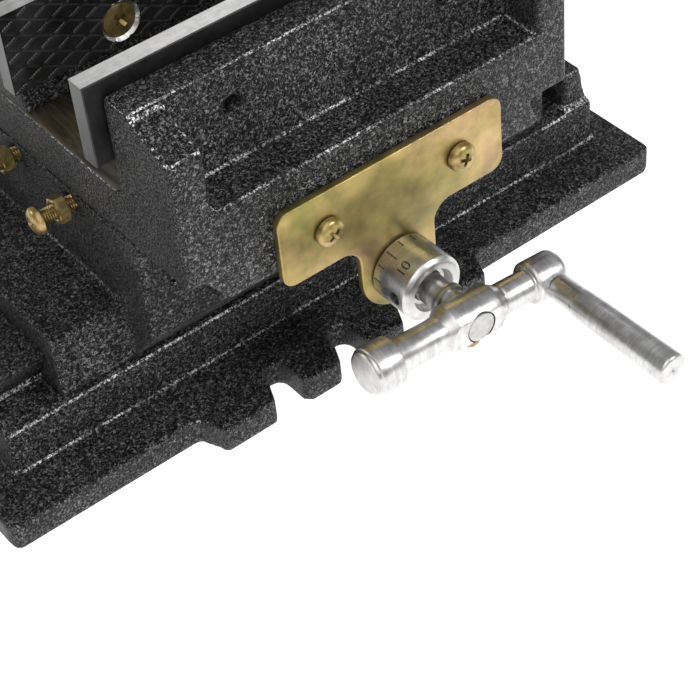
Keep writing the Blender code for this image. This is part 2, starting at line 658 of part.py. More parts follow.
def make_upper_bracket(body):
    front = BODY_FRONT - GAP - BRACKET_THICKNESS
    plate = prism("upper_bracket_plate", "Y", bracket_outline(), front, BODY_FRONT - GAP,
                  "zinc", body, (0, BODY_FRONT, UPPER_AXIS))
    holes = [hole("upper_bracket_bore", along((0, front, UPPER_AXIS), (0, 1, 0)),
                  JOURNAL_RADIUS + GAP, -2, 6, 24)]
    holes += [hole("upper_bracket_hole_%d" % k,
                   along((x, front, BRACKET_SCREW_Z), (0, 1, 0)), 2.8, -2, 6)
              for k, x in enumerate((-BRACKET_SCREW_X, BRACKET_SCREW_X))]
    combine(plate, "DIFFERENCE", *holes)
    turned_set("upper_bracket_screw", pan_head(4.8, 3.2, 2.5, 12),
               [along((x, front - GAP, BRACKET_SCREW_Z), (0, -1, 0))
                for x in (-BRACKET_SCREW_X, BRACKET_SCREW_X)], "zinc", body, 16)


def make_lower_bracket(body):
    front = BLOCK_LEFT - GAP - BRACKET_THICKNESS
    half, low, high, corner = 37.5, 14, 40, 4.5
    outline = arc(half - corner, high - corner, corner, 0, 90, 3)
    outline += arc(-half + corner, high - corner, corner, 90, 180, 3)
    outline += arc(-half + corner, low + corner, corner, 180, 270, 3)
    outline += arc(half - corner, low + corner, corner, 270, 360, 3)
    plate = prism("lower_bracket_plate", "X", outline, front, BLOCK_LEFT - GAP, "zinc", body,
                  (BLOCK_LEFT, 0, LOWER_AXIS))
    holes = [hole("lower_bracket_bore", along((front, 0, LOWER_AXIS), (1, 0, 0)),
                  JOURNAL_RADIUS + GAP, -2, 6, 24)]
    holes += [hole("lower_bracket_hole_%d" % k, along((front, y, LOWER_AXIS), (1, 0, 0)),
                   2.8, -2, 6) for k, y in enumerate((-LOWER_SCREW_Y, LOWER_SCREW_Y))]
    combine(plate, "DIFFERENCE", *holes)
    turned_set("lower_bracket_screw", pan_head(4.8, 3.2, 2.5, 12),
               [along((front - GAP, y, LOWER_AXIS), (-1, 0, 0)) for y in (-LOWER_SCREW_Y, LOWER_SCREW_Y)],
               "zinc", body, 16)


def make_dial(prefix, place, body, origin):
    """Dial collar against the bracket, and its grub screw."""
    bore = JOURNAL_RADIUS + GAP
    low = GAP + BRACKET_THICKNESS + GAP
    high = low + COLLAR_LENGTH
    collar = [(low, bore), (low, COLLAR_RADIUS - 0.4), (low + 0.6, COLLAR_RADIUS),
              (high - 1.0, COLLAR_RADIUS), (high, COLLAR_RADIUS - 1.0), (high, 7.6),
              (high - 2.6, 6.6), (high - 2.6, bore)]
    made = turned(prefix + "_dial_collar", collar, place, "bright_steel", body, origin, 32, True)
    grub_at = low + 10.5
    side = place @ Matrix.Translation((0, 0, grub_at)) @ Matrix.Rotation(-math.pi / 2, 4, "Y")
    combine(made, "DIFFERENCE", hole(prefix + "_grub_bore", side, 2.0, 0, 14, 12))
    grub = [(bore + 0.1, 0), (bore + 0.1, 1.7), (COLLAR_RADIUS - 1.2, 1.7),
            (COLLAR_RADIUS - 1.2, 0)]
    turned(prefix + "_collar_grub_screw", grub, side, "bright_steel", body, origin, 12)


def make_crank(prefix, place, body, origin, reach, turn=0.0):
    """Crank arm turned about U, grip along W, and the set screw under the hub."""
    centre = place @ Matrix.Translation((0, 0, reach)) @ Matrix.Rotation(math.radians(turn), 4, "Z")
    lie = centre @ Matrix.Rotation(math.pi / 2, 4, "Y")
    left, right = -38.8, 35.0
    outline = [(left, 0), (left, KNOB_RADIUS - 0.8), (left + 0.8, KNOB_RADIUS),
               (-28.8, KNOB_RADIUS), (-28.8, 5.5), (-11, 5.3), (-8.4, HUB_RADIUS),
               (8.0, HUB_RADIUS - 0.2), (11, 5.1), (22.8, 5.0), (22.8, BOSS_RADIUS - 0.3),
               (23.4, BOSS_RADIUS), (right - 1.6, BOSS_RADIUS - 0.2), (right - 0.4, 6.0),
               (right, 5.2), (right, 0)]
    arm = turned(prefix + "_crank_arm", outline, lie, "bright_steel", body, origin, 28)
    grip_place = centre @ Matrix.Translation((GRIP_OFFSET, 0, 0))
    under = centre @ Matrix.Rotation(math.pi / 2, 4, "X")
    cuts = [hole(prefix + "_hub_flat", centre, 10.5, HUB_FLAT, 12, 24),
            hole(prefix + "_hub_bore", centre, JOURNAL_RADIUS + GAP, -12, 12, 24),
            hole(prefix + "_grip_bore", grip_place, 3.3, -10, 10, 16),
            hole(prefix + "_set_bore", under, 2.2, 0, 12, 12)]
    combine(arm, "DIFFERENCE", *cuts)
    start = BOSS_RADIUS + GAP
    stop = start + GRIP_LENGTH
    grip = [(-6.2, 0), (-6.2, 3), (start, 3), (start, 4.2), (start + 8, 4.3), (start + 10, 4.7),
            (start + 22, 4.9), (stop - 0.7, 5.2), (stop, 4.6), (stop, 0)]
    turned(prefix + "_crank_grip", grip, grip_place, "bright_steel", body, origin, 24)
    inner = JOURNAL_RADIUS + GAP
    set_screw = [(inner, 0), (inner, 1.9), (HUB_RADIUS + GAP, 1.9), (HUB_RADIUS + GAP, 3.6),
                 (HUB_RADIUS + 1.8, 3.6), (HUB_RADIUS + 2.6, 2.2), (HUB_RADIUS + 2.6, 0)]
    turned(prefix + "_crank_set_screw", set_screw, under, "zinc", body, origin, 12)


def make_lead_screw(prefix, place, body, origin, length):
    """Journal through the dial and the crank, then the thread's outside diameter."""
    end = ARM_REACH + HUB_FLAT
    outline = [(-length, 0), (-length, SCREW_RADIUS - 1.2), (-length + 1.2, SCREW_RADIUS),
               (0, SCREW_RADIUS), (0, JOURNAL_RADIUS), (end - 0.4, JOURNAL_RADIUS),
               (end, JOURNAL_RADIUS - 0.4), (end, 0)]
    turned(prefix + "_lead_screw", outline, place, "bright_steel", body, origin, 24)


def make_clamp_screw(body, origin):
    """The screw turns in the moving jaw: a collar in its pocket, a neck in the retainer."""
    start = MOVER_BACK
    hub_face = BODY_BACK + 11 + (MOVING_FACE - FIXED_FACE)
    place = frame((0, start, CLAMP_AXIS), (0, 1, 0))
    reach = hub_face - start + HUB_RADIUS + 4
    far = reach + HUB_FLAT
    outline = [(-18, 0), (-18, 5), (-16.5, CLAMP_RADIUS), (-GAP, CLAMP_RADIUS), (-GAP, 5),
               (GAP + 3.5 + GAP, 5), (GAP + 3.5 + GAP, CLAMP_RADIUS - 0.8),
               (GAP + 5, CLAMP_RADIUS), (hub_face - start, CLAMP_RADIUS),
               (hub_face - start, JOURNAL_RADIUS), (far, JOURNAL_RADIUS), (far, 0)]
    turned("clamp_lead_screw", outline, place, "bright_steel", body, origin, 24)
    make_crank("clamp", place, body, origin, reach)


def main():
    clear_scene()
    base_body = body_frame("base_body", (0, 0, 0))
    saddle_body = body_frame("saddle_body", (0, 0, WING_TOP), base_body)
    vise_body = body_frame("vise_body", (0, 0, PARTING), saddle_body)
    jaw_body = body_frame("jaw_body", (0, MOVER_FRONT, CLAMP_AXIS), vise_body)
    lower_origin = (BLOCK_LEFT, 0, LOWER_AXIS)
    upper_origin = (0, BODY_FRONT, UPPER_AXIS)
    clamp_origin = (0, MOVER_BACK, CLAMP_AXIS)
    lower_screw_body = body_frame("lower_screw_body", lower_origin, base_body)
    upper_screw_body = body_frame("upper_screw_body", upper_origin, vise_body)
    clamp_screw_body = body_frame("clamp_screw_body", clamp_origin, jaw_body)

    make_base(base_body)
    make_lower_bracket(base_body)
    make_saddle(saddle_body)
    make_gibs(saddle_body)
    make_lead_nuts(saddle_body)
    make_vise_body(vise_body)
    make_jaw_plate("fixed_jaw_plate", "fixed_plate_screw", vise_body, FIXED_FACE, 1)
    make_upper_bracket(vise_body)
    make_moving_jaw(jaw_body)
    make_jaw_plate("moving_jaw_plate", "moving_plate_screw", jaw_body, MOVING_FACE, -1, MOVING_LIFT)

    lower = frame(lower_origin, (-1, 0, 0))
    make_lead_screw("lower", lower, lower_screw_body, lower_origin, 218)
    make_dial("lower", lower, lower_screw_body, lower_origin)
    make_crank("lower", lower, lower_screw_body, lower_origin, ARM_REACH)
    upper = frame(upper_origin, (0, -1, 0))
    make_lead_screw("upper", upper, upper_screw_body, upper_origin, 165)
    make_dial("upper", upper, upper_screw_body, upper_origin)
    make_crank("upper", upper, upper_screw_body, upper_origin, ARM_REACH, ARM_TURN)
    make_clamp_screw(clamp_screw_body, clamp_origin)


main()
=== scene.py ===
"""Looks of the compound machine vise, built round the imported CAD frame.

The castings are rounded copies of their CAD solids in hammered paint. Screws, dials, cranks,
jaw plates and brackets are modelled again in finer detail at the places their CAD nodes give.
Lengths in this file are millimetres unless a name says otherwise.
"""
import math

import bmesh
import bpy
from mathutils import Matrix, Vector


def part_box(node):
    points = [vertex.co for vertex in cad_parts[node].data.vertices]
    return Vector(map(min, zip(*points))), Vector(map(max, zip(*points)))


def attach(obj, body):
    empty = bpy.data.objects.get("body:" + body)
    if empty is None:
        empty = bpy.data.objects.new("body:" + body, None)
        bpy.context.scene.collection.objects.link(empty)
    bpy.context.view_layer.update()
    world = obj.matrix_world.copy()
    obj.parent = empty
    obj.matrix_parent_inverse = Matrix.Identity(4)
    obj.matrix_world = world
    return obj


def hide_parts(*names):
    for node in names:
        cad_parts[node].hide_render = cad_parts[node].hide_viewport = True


MM = 0.001
JOURNAL = 4.9
JOURNAL_BORE = 5.2

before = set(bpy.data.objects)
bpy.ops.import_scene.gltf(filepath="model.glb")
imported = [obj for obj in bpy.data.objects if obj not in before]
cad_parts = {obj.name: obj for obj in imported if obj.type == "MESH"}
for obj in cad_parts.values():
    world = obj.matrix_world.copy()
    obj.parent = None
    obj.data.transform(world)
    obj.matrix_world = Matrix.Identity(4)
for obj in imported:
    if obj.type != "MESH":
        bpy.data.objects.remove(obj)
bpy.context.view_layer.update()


# ---------------------------------------------------------------- camera, floor and light

CAMERA_AZIMUTH = -33.909
CAMERA_ELEVATION = 44.021
CAMERA_ROLL = -6.172
CAMERA_PLACE = (-266.4, -462.7, 453.3)
FOCAL_LENGTH = 102.74
SENSOR_WIDTH = 36


def make_camera():
    azimuth, elevation = math.radians(CAMERA_AZIMUTH), math.radians(CAMERA_ELEVATION)
    roll = math.radians(CAMERA_ROLL)
    back = Vector((math.sin(azimuth) * math.cos(elevation),
                   -math.cos(azimuth) * math.cos(elevation), math.sin(elevation)))
    right = (-back).cross(Vector((0, 0, 1))).normalized()
    up = right.cross(-back)
    side = right * math.cos(roll) + up * math.sin(roll)
    top = up * math.cos(roll) - right * math.sin(roll)
    camera = bpy.data.objects.new("camera", bpy.data.cameras.new("camera"))
    bpy.context.scene.collection.objects.link(camera)
    turn = Matrix((side, top, back)).transposed().to_4x4()
    camera.matrix_world = Matrix.Translation(Vector(CAMERA_PLACE) * MM) @ turn
    camera.data.lens = FOCAL_LENGTH
    camera.data.sensor_width = SENSOR_WIDTH
    camera.data.clip_start = 0.01
    camera.data.clip_end = 50
    bpy.context.scene.camera = camera


def area_light(name, place, target, side, energy):
    light = bpy.data.lights.new(name, "AREA")
    light.shape = "RECTANGLE"
    light.size = light.size_y = side
    light.energy = energy
    holder = bpy.data.objects.new(name, light)
    bpy.context.scene.collection.objects.link(holder)
    holder.location = place
    aim = Vector(target) - Vector(place)
    holder.rotation_euler = aim.to_track_quat("-Z", "Y").to_euler()


ROOM_GREY = (0.38, 0.38, 0.385, 1)
FLOOR_REACH = 4.0
FLOOR_DROP = 0.0002
FLOOR_GLOW = 0.9
# name, place and target in metres, side in metres, watts
LIGHTS = (
    ("soft_box_top", (-0.2, -0.3, 1.4), (0, 0, 0), 0.8, 2),
    ("edge_light_front", (0.52, -0.90, 0.80), (0, 0, 0.02), 0.25, 6),
    ("edge_light_left", (-0.95, 0.80, 0.62), (0, 0, 0.02), 0.25, 3),
    ("soft_box_rear", (0.50, 0.75, 0.90), (0, 0, 0.05), 0.35, 1.0),
    ("soft_box_front", (-0.60, -0.90, 1.05), (0, 0, 0.05), 1.2, 8),
)


def make_studio():
    """A bright pale table in a grey room, with soft boxes above, in front and behind."""
    world = bpy.data.worlds.new("room")
    bpy.context.scene.world = world
    world.use_nodes = True
    nodes, links = world.node_tree.nodes, world.node_tree.links
    room = nodes["Background"]
    room.inputs["Color"].default_value = ROOM_GREY
    backdrop = nodes.new("ShaderNodeBackground")
    backdrop.inputs["Color"].default_value = (1, 1, 1, 1)
    seen = nodes.new("ShaderNodeLightPath")
    mix = nodes.new("ShaderNodeMixShader")
    links.new(seen.outputs["Is Camera Ray"], mix.inputs["Fac"])
    links.new(room.outputs["Background"], mix.inputs[1])
    links.new(backdrop.outputs["Background"], mix.inputs[2])
    links.new(mix.outputs["Shader"], nodes["World Output"].inputs["Surface"])

    mesh = bpy.data.meshes.new("floor")
    reach = FLOOR_REACH
    corners = [(-reach, -reach, 0), (reach, -reach, 0), (reach, reach, 0), (-reach, reach, 0)]
    mesh.from_pydata(corners, [], [(0, 1, 2, 3)])
    floor = bpy.data.objects.new("floor", mesh)
    bpy.context.scene.collection.objects.link(floor)
    floor.location.z = -FLOOR_DROP
    pale = bpy.data.materials.new("floor_pale")
    pale.use_nodes = True
    shader = pale.node_tree.nodes["Principled BSDF"]
    shader.inputs["Base Color"].default_value = (0.9, 0.9, 0.9, 1)
    shader.inputs["Roughness"].default_value = 0.8
    shader.inputs["Emission Color"].default_value = (1, 1, 1, 1)
    shader.inputs["Emission Strength"].default_value = FLOOR_GLOW
    mesh.materials.append(pale)

    for light in LIGHTS:
        area_light(*light)
    bpy.context.scene.view_settings.view_transform = "Standard"


# ---------------------------------------------------------------- materials

class Look:
    """A Principled material with short calls for the nodes that feed it."""

    def __init__(self, name, colour, roughness, metallic, slot):
        self.made = bpy.data.materials.new(name)
        self.made.use_nodes = True
        self.nodes = self.made.node_tree.nodes
        self.links = self.made.node_tree.links
        self.shader = self.nodes["Principled BSDF"]
        self.shader.inputs["Base Color"].default_value = (*colour, 1)
        self.shader.inputs["Roughness"].default_value = roughness
        self.shader.inputs["Metallic"].default_value = metallic
        self.place = self.nodes.new("ShaderNodeTexCoord").outputs["Object"]
        self.made["slot"] = slot

    def stretched(self, scale, offset=(0, 0, 0)):
        mapping = self.nodes.new("ShaderNodeMapping")
        mapping.inputs["Scale"].default_value = scale
        mapping.inputs["Location"].default_value = offset
        self.links.new(self.place, mapping.inputs["Vector"])
        return mapping.outputs["Vector"]

    def noise(self, scale, detail=2, roughness=0.5, distortion=0, place=None):
        node = self.nodes.new("ShaderNodeTexNoise")
        node.inputs["Scale"].default_value = scale
        node.inputs["Detail"].default_value = detail
        node.inputs["Roughness"].default_value = roughness
        node.inputs["Distortion"].default_value = distortion
        self.links.new(place or self.place, node.inputs["Vector"])
        return node.outputs["Fac"]

    def ramp(self, value, *stops):
        node = self.nodes.new("ShaderNodeValToRGB")
        while len(node.color_ramp.elements) < len(stops):
            node.color_ramp.elements.new(0.5)
        for element, (at, colour) in zip(node.color_ramp.elements, stops):
            element.position = at
            grey = (colour,) * 3 if isinstance(colour, (int, float)) else colour
            element.color = (*grey, 1)
        self.links.new(value, node.inputs["Fac"])
        return node.outputs["Color"]

    def mix(self, factor, one, other, blend="MIX"):
        node = self.nodes.new("ShaderNodeMix")
        node.data_type = "RGBA"
        node.blend_type = blend
        for value, socket in ((factor, 0), (one, 6), (other, 7)):
            if isinstance(value, (int, float)):
                node.inputs[socket].default_value = value
            elif isinstance(value, tuple):
                node.inputs[socket].default_value = (*value, 1)
            else:
                self.links.new(value, node.inputs[socket])
        return node.outputs[2]

    def colour(self, value):
        self.links.new(value, self.shader.inputs["Base Color"])

    def rough(self, value, low, high):
        node = self.nodes.new("ShaderNodeMapRange")
        node.inputs["To Min"].default_value = low
        node.inputs["To Max"].default_value = high
        self.links.new(value, node.inputs["Value"])
        self.links.new(node.outputs["Result"], self.shader.inputs["Roughness"])

    def bump(self, value, strength, depth, after=None):
        node = self.nodes.new("ShaderNodeBump")
        node.inputs["Strength"].default_value = strength
        node.inputs["Distance"].default_value = depth * MM
        self.links.new(value, node.inputs["Height"])
        if after:
            self.links.new(after, node.inputs["Normal"])
        self.links.new(node.outputs["Normal"], self.shader.inputs["Normal"])
        return node.outputs["Normal"]


FLECK_SCALE = 1200
SHADED_SIDE_FLECK_SCALE = 1700


def hammered_paint(name, dimmest, *flecks):
    """Charcoal hammer paint: bright worm-like flecks, with finer, dimmer flecks on the faces that
    look along -X as painted shade for that less lit side.

    dimmest is how far broad patches darken it. flecks are ramp stops from dark to light.
    """
    look = Look(name, (0.03, 0.03, 0.03), 0.4, 0.0, "hammertone_paint")
    # Painted shade: faces looking along -X swap the bright flecks for finer, dimmer ones, standing
    # in for the weaker light and missing glints there.
    facing = look.nodes.new("ShaderNodeSeparateXYZ")
    look.links.new(look.nodes.new("ShaderNodeTexCoord").outputs["Normal"], facing.inputs[0])
    turn = look.nodes.new("ShaderNodeMath")
    turn.operation = "MULTIPLY_ADD"
    turn.inputs[1].default_value = 0.5
    turn.inputs[2].default_value = 0.5
    look.links.new(facing.outputs["X"], turn.inputs[0])
    shaded_side = look.ramp(turn.outputs[0], (0.08, 1), (0.22, 0))
    grain = look.noise(FLECK_SCALE, 3, 0.6, 1.1)
    fleck = look.ramp(grain, *flecks)
    fine = look.ramp(look.noise(SHADED_SIDE_FLECK_SCALE, 2, 0.5), (0.42, 0.004), (0.50, 0.014),
                     (0.60, 0.09))
    worn = look.noise(38, 3, 0.6)
    shade = look.ramp(worn, (0.38, dimmest), (0.62, 1.1))
    look.colour(look.mix(1.0, look.mix(shaded_side, fleck, fine), shade, "MULTIPLY"))
    look.rough(grain, 0.55, 0.18)
    small = look.bump(look.noise(2600, 2, 0.5), 0.3, 0.10)
    look.bump(grain, 0.9, 0.7, small)
    look.shader.inputs["Specular IOR Level"].default_value = 0.14
    return look.made


def machined_iron(name, base, spread, scale):
    """Cut iron with faint tool marks and oil-brown patches."""
    look = Look(name, base, 0.45, 0.75, "hammertone_paint")
    marks = look.noise(260, 4, 0.6, 1.5, look.stretched(scale))
    patch = look.noise(45, 4, 0.6)
    warm = tuple(v * f for v, f in zip(base, (1.0, 0.86, 0.62)))
    tone = look.mix(look.ramp(patch, (0.4, 0), (0.62, 1)), base, warm)
    look.colour(look.mix(1.0, tone, look.ramp(marks, (0.35, 1 - spread), (0.65, 1 + spread)),
                         "MULTIPLY"))
    look.rough(marks, 0.35, 0.6)
    look.bump(marks, 0.4, 0.12)
    return look.made


def yellow_zinc(name, scale):
    """Chromate over zinc: gold with green and pink drifts, and small dark specks."""
    look = Look(name, (0.55, 0.42, 0.2), 0.34, 0.85, "yellow_zinc")
    drift = look.noise(scale, 3, 0.55, 1.2)
    tint = look.ramp(drift, (0.30, (0.20, 0.18, 0.055)), (0.45, (0.36, 0.27, 0.10)),
                     (0.58, (0.42, 0.30, 0.14)), (0.72, (0.36, 0.21, 0.12)))
    cloud = look.noise(scale * 3.7, 4, 0.6)
    tint = look.mix(1.0, tint, look.ramp(cloud, (0.32, 0.58), (0.66, 1.12)), "MULTIPLY")
    speck = look.noise(1500, 2, 0.5)
    tint = look.mix(look.ramp(speck, (0.72, 0), (0.76, 0.8)), tint, (0.10, 0.07, 0.03))
    look.colour(tint)
    look.rough(cloud, 0.26, 0.46)
    look.bump(look.noise(900, 3, 0.6), 0.18, 0.08)
    return look.made


def turned_steel(name, slot, scale, tone=0.54, low=0.24, high=0.42):
    """Turned steel: fine lines that run the way scale stretches, over a cloudy grain."""
    metal = (tone, tone * 0.99, tone * 0.975)
    look = Look(name, metal, 0.25, 1.0, slot)
    rings = look.noise(1500, 3, 0.65, 0, look.stretched(scale))
    smear = look.noise(260, 5, 0.65)
    shade = look.ramp(smear, (0.35, 0.78), (0.65, 1.12))
    fine = look.ramp(rings, (0.35, 0.86), (0.65, 1.1))
    base = look.mix(1.0, metal, shade, "MULTIPLY")
    look.colour(look.mix(1.0, base, fine, "MULTIPLY"))
    look.rough(smear, low, high)
    grain = look.bump(look.noise(1300, 3, 0.6), 0.25, 0.05)
    look.bump(rings, 0.2, 0.05, grain)
    return look.made


def oxide_steel():
    """Steel under black oxide, cloudy and half matt."""
    look = Look("oxide_steel", (0.03, 0.03, 0.03), 0.4, 0.6, "ground_steel")
    cloud = look.noise(120, 4, 0.6)
    look.colour(look.ramp(cloud, (0.3, 0.008), (0.7, 0.03)))
    look.rough(cloud, 0.3, 0.55)
    look.bump(look.noise(1400, 3, 0.6), 0.3, 0.06)
    return look.made


def plain_ink():
    """Dark filling of the dial's engraved lines."""
    look = Look("dial_ink", (0.02, 0.02, 0.018), 0.6, 0.0, "bright_steel")
    look.colour(look.ramp(look.noise(2500, 2), (0.3, 0.008), (0.7, 0.045)))
    return look.made


LOOKS = {}


def make_looks():
    across, along_screw = (1, 0.02, 0.02), (0.02, 1, 0.02)
    LOOKS["paint"] = hammered_paint("hammered_paint", 0.7, (0.44, 0.002), (0.50, 0.010),
                                    (0.54, 0.055), (0.60, 0.11), (0.68, 0.28))
    # Painted glint paint: much brighter flecks for the narrow edge and fillet strips, standing in
    # for the light they catch.
    LOOKS["painted_glint"] = hammered_paint("painted_glint_paint", 0.25, (0.44, 0.03), (0.50, 0.12), (0.56, 0.6),
                                     (0.62, 0.95))
    LOOKS["bed"] = machined_iron("machined_bed", (0.13, 0.12, 0.10), 0.45, (1, 0.15, 1))
    LOOKS["way"] = machined_iron("machined_way", (0.22, 0.215, 0.205), 0.3, (0.1, 1, 1))
    LOOKS["zinc_plate"] = yellow_zinc("yellow_zinc_plate", 22)
    LOOKS["zinc_screw"] = yellow_zinc("yellow_zinc_screw", 110)
    LOOKS["steel_x"] = turned_steel("turned_steel_x", "bright_steel", across)
    LOOKS["steel_y"] = turned_steel("turned_steel_y", "bright_steel", along_screw)
    LOOKS["screw_x"] = turned_steel("thread_steel_x", "bright_steel", across, 0.42, 0.25, 0.4)
    LOOKS["screw_y"] = turned_steel("thread_steel_y", "bright_steel", along_screw, 0.42, 0.25, 0.4)
    LOOKS["ground"] = turned_steel("ground_steel", "ground_steel", (0.05, 1, 1), 0.45, 0.25, 0.42)
    LOOKS["plate_end"] = turned_steel("plate_end_steel", "ground_steel", (1, 1, 0.05), 0.10, 0.35,
                                      0.55)
    # Bright steel for the painted glint dashes on the jaw plate's grooves.
    LOOKS["painted_groove_glint"] = turned_steel("painted_groove_glint_steel", "ground_steel", (1, 1, 1), 0.75, 0.35,
                                      0.55)
    LOOKS["oxide"] = oxide_steel()
    LOOKS["bronze"] = turned_steel("bronze", "bronze", (0.1, 1, 1), 0.5, 0.25, 0.4)
    LOOKS["ink"] = plain_ink()
    bronze = LOOKS["bronze"].node_tree.nodes["Principled BSDF"]
    bronze.inputs["Specular Tint"].default_value = (1.0, 0.8, 0.5, 1)


# ---------------------------------------------------------------- mesh tools

def piece(name, mesh, body, *looks, nodes=()):
    """A finished piece: its body and the CAD nodes it stands for. Naming no looks keeps
    the materials its faces already have."""
    made = bpy.data.objects.new(name, mesh)
    bpy.context.scene.collection.objects.link(made)
    if looks:
        mesh.materials.clear()
        for look in looks:
            mesh.materials.append(LOOKS[look])
    if nodes:
        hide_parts(*nodes)
    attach(made, body)
    return made


def centre(node):
    low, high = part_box(node)
    return (low + high) / (2 * MM)


def mesh_of(name, points, faces, smooth_angle=35):
    mesh = bpy.data.meshes.new(name)
    mesh.from_pydata([Vector(p) * MM for p in points], [], faces)
    tidy = bmesh.new()
    tidy.from_mesh(mesh)
    bmesh.ops.recalc_face_normals(tidy, faces=tidy.faces)
    tidy.to_mesh(mesh)
    tidy.free()
    mesh.shade_smooth()
    mesh.set_sharp_from_angle(angle=math.radians(smooth_angle))
    return mesh


def along(origin, direction, turn=0):
    """Frame in millimetres whose Z axis runs along a direction."""
    aim = Vector(direction).to_track_quat("Z", "Y").to_matrix().to_4x4()
    return Matrix.Translation(Vector(origin)) @ aim @ Matrix.Rotation(turn, 4, "Z")


def grid_faces(rows, columns, wrap):
    """Quads between successive rows of points, closed round the columns where wrap is set."""
    faces = []
    for i in range(rows - 1):
        for j in range(columns if wrap else columns - 1):
            k = (j + 1) % columns
            faces.append((i * columns + j, i * columns + k,
                          (i + 1) * columns + k, (i + 1) * columns + j))
    return faces


def lathe(name, outline, place, segments=64, ring=False, radius_of=None):
    """Spin (along, radius) points about the Z axis of place. Ends at radius 0 close it."""
    rows = [p for p in outline if p[1] > 0]
    points = []
    for t, r in rows:
        for k in range(segments):
            a = 2 * math.pi * k / segments
            s = r if radius_of is None else radius_of(t, a, r)
            points.append(place @ Vector((s * math.cos(a), s * math.sin(a), t)))
    if ring:
        points += points[:segments]
    faces = grid_faces(len(rows) + ring, segments, True)
    if not ring:
        last = (len(rows) - 1) * segments
        faces.append(tuple(range(segments)))
        faces.append(tuple(range(last, last + segments)))
    mesh = mesh_of(name, points, faces)
    if ring:
        weld = bmesh.new()
        weld.from_mesh(mesh)
        bmesh.ops.remove_doubles(weld, verts=weld.verts, dist=1e-7)
        bmesh.ops.recalc_face_normals(weld, faces=weld.faces)
        weld.to_mesh(mesh)
        weld.free()
        mesh.set_sharp_from_angle(angle=math.radians(35))
    return mesh


def rounded(outline, radius, steps=3):
    """The outline with each inner corner turned into a small arc."""
    made = [outline[0]]
    for before, corner, after in zip(outline, outline[1:], outline[2:]):
        b, c, a = Vector(before), Vector(corner), Vector(after)
        reach = min(radius, (b - c).length / 2.2, (a - c).length / 2.2)
        start, stop = c + (b - c).normalized() * reach, c + (a - c).normalized() * reach
        for k in range(steps + 1):
            t = k / steps
            bend = start * (1 - t) ** 2 + c * 2 * t * (1 - t) + stop * t ** 2
            made.append((bend.x, bend.y))
    made.append(outline[-1])
    return made


def carve(mesh, *tools, smooth_angle=35):
    """Cut other meshes out of one, and shade the result afresh."""
    target = bpy.data.objects.new("carve_target", mesh)
    bpy.context.scene.collection.objects.link(target)
    helpers = []
    for tool in tools:
        helper = bpy.data.objects.new("carve_tool", tool)
        bpy.context.scene.collection.objects.link(helper)
        helpers.append(helper)
        step = target.modifiers.new("carve", "BOOLEAN")
        step.operation = "DIFFERENCE"
        step.solver = "EXACT"
        step.object = helper
    made = applied(target, helpers)
    made.shade_smooth()
    made.set_sharp_from_angle(angle=math.radians(smooth_angle))
    return made


def applied(target, helpers=()):
    """The mesh of an object with its modifiers in effect. The object and helpers go."""
    graph = bpy.context.evaluated_depsgraph_get()
    graph.update()
    mesh = bpy.data.meshes.new_from_object(target.evaluated_get(graph))
    for used in (target, *helpers):
        bpy.data.objects.remove(used, do_unlink=True)
    return mesh


def box_mesh(low, high, place):
    xs, ys, zs = zip(low, high)
    points = [place @ Vector((x, y, z)) for x in xs for y in ys for z in zs]
    faces = [(0, 1, 3, 2), (4, 6, 7, 5), (0, 4, 5, 1), (2, 3, 7, 6), (0, 2, 6, 4), (1, 5, 7, 3)]
    return mesh_of("box", points, faces)


def bevelled(mesh, width, segments=2, angle=40):
    holder = bpy.data.objects.new("bevel_target", mesh)
    bpy.context.scene.collection.objects.link(holder)
    step = holder.modifiers.new("bevel", "BEVEL")
    step.width = width * MM
    step.segments = segments
    step.limit_method = "ANGLE"
    step.angle_limit = math.radians(angle)
    made = applied(holder)
    made.shade_smooth()
    made.set_sharp_from_angle(angle=math.radians(angle))
    return made


# ---------------------------------------------------------------- castings

PAINT, BED, WAY, PAINTED_GLINT = range(4)
CASTING_LOOKS = ("paint", "bed", "way", "painted_glint")
FLAT_ENOUGH = 1.5
# Narrow strips tilted between level and upright get the painted glint: brighter flecks standing in
# for light catching rounded edges and fillets.
PAINTED_GLINT_TILT = (0.53, 0.84)
PAINTED_GLINT_WIDTH = 1.4
BASE_VOXEL = 1.1
BODY_VOXEL = 1.05
WALL_BORE_Y = -78.5


def strip_width(mesh, face):
    """Width in millimetres of a face taken as a long strip."""
    ring = [mesh.vertices[v].co for v in face.vertices]
    round_about = sum((a - b).length for a, b in zip(ring, ring[1:] + ring[:1]))
    return 2 * face.area / round_about / MM


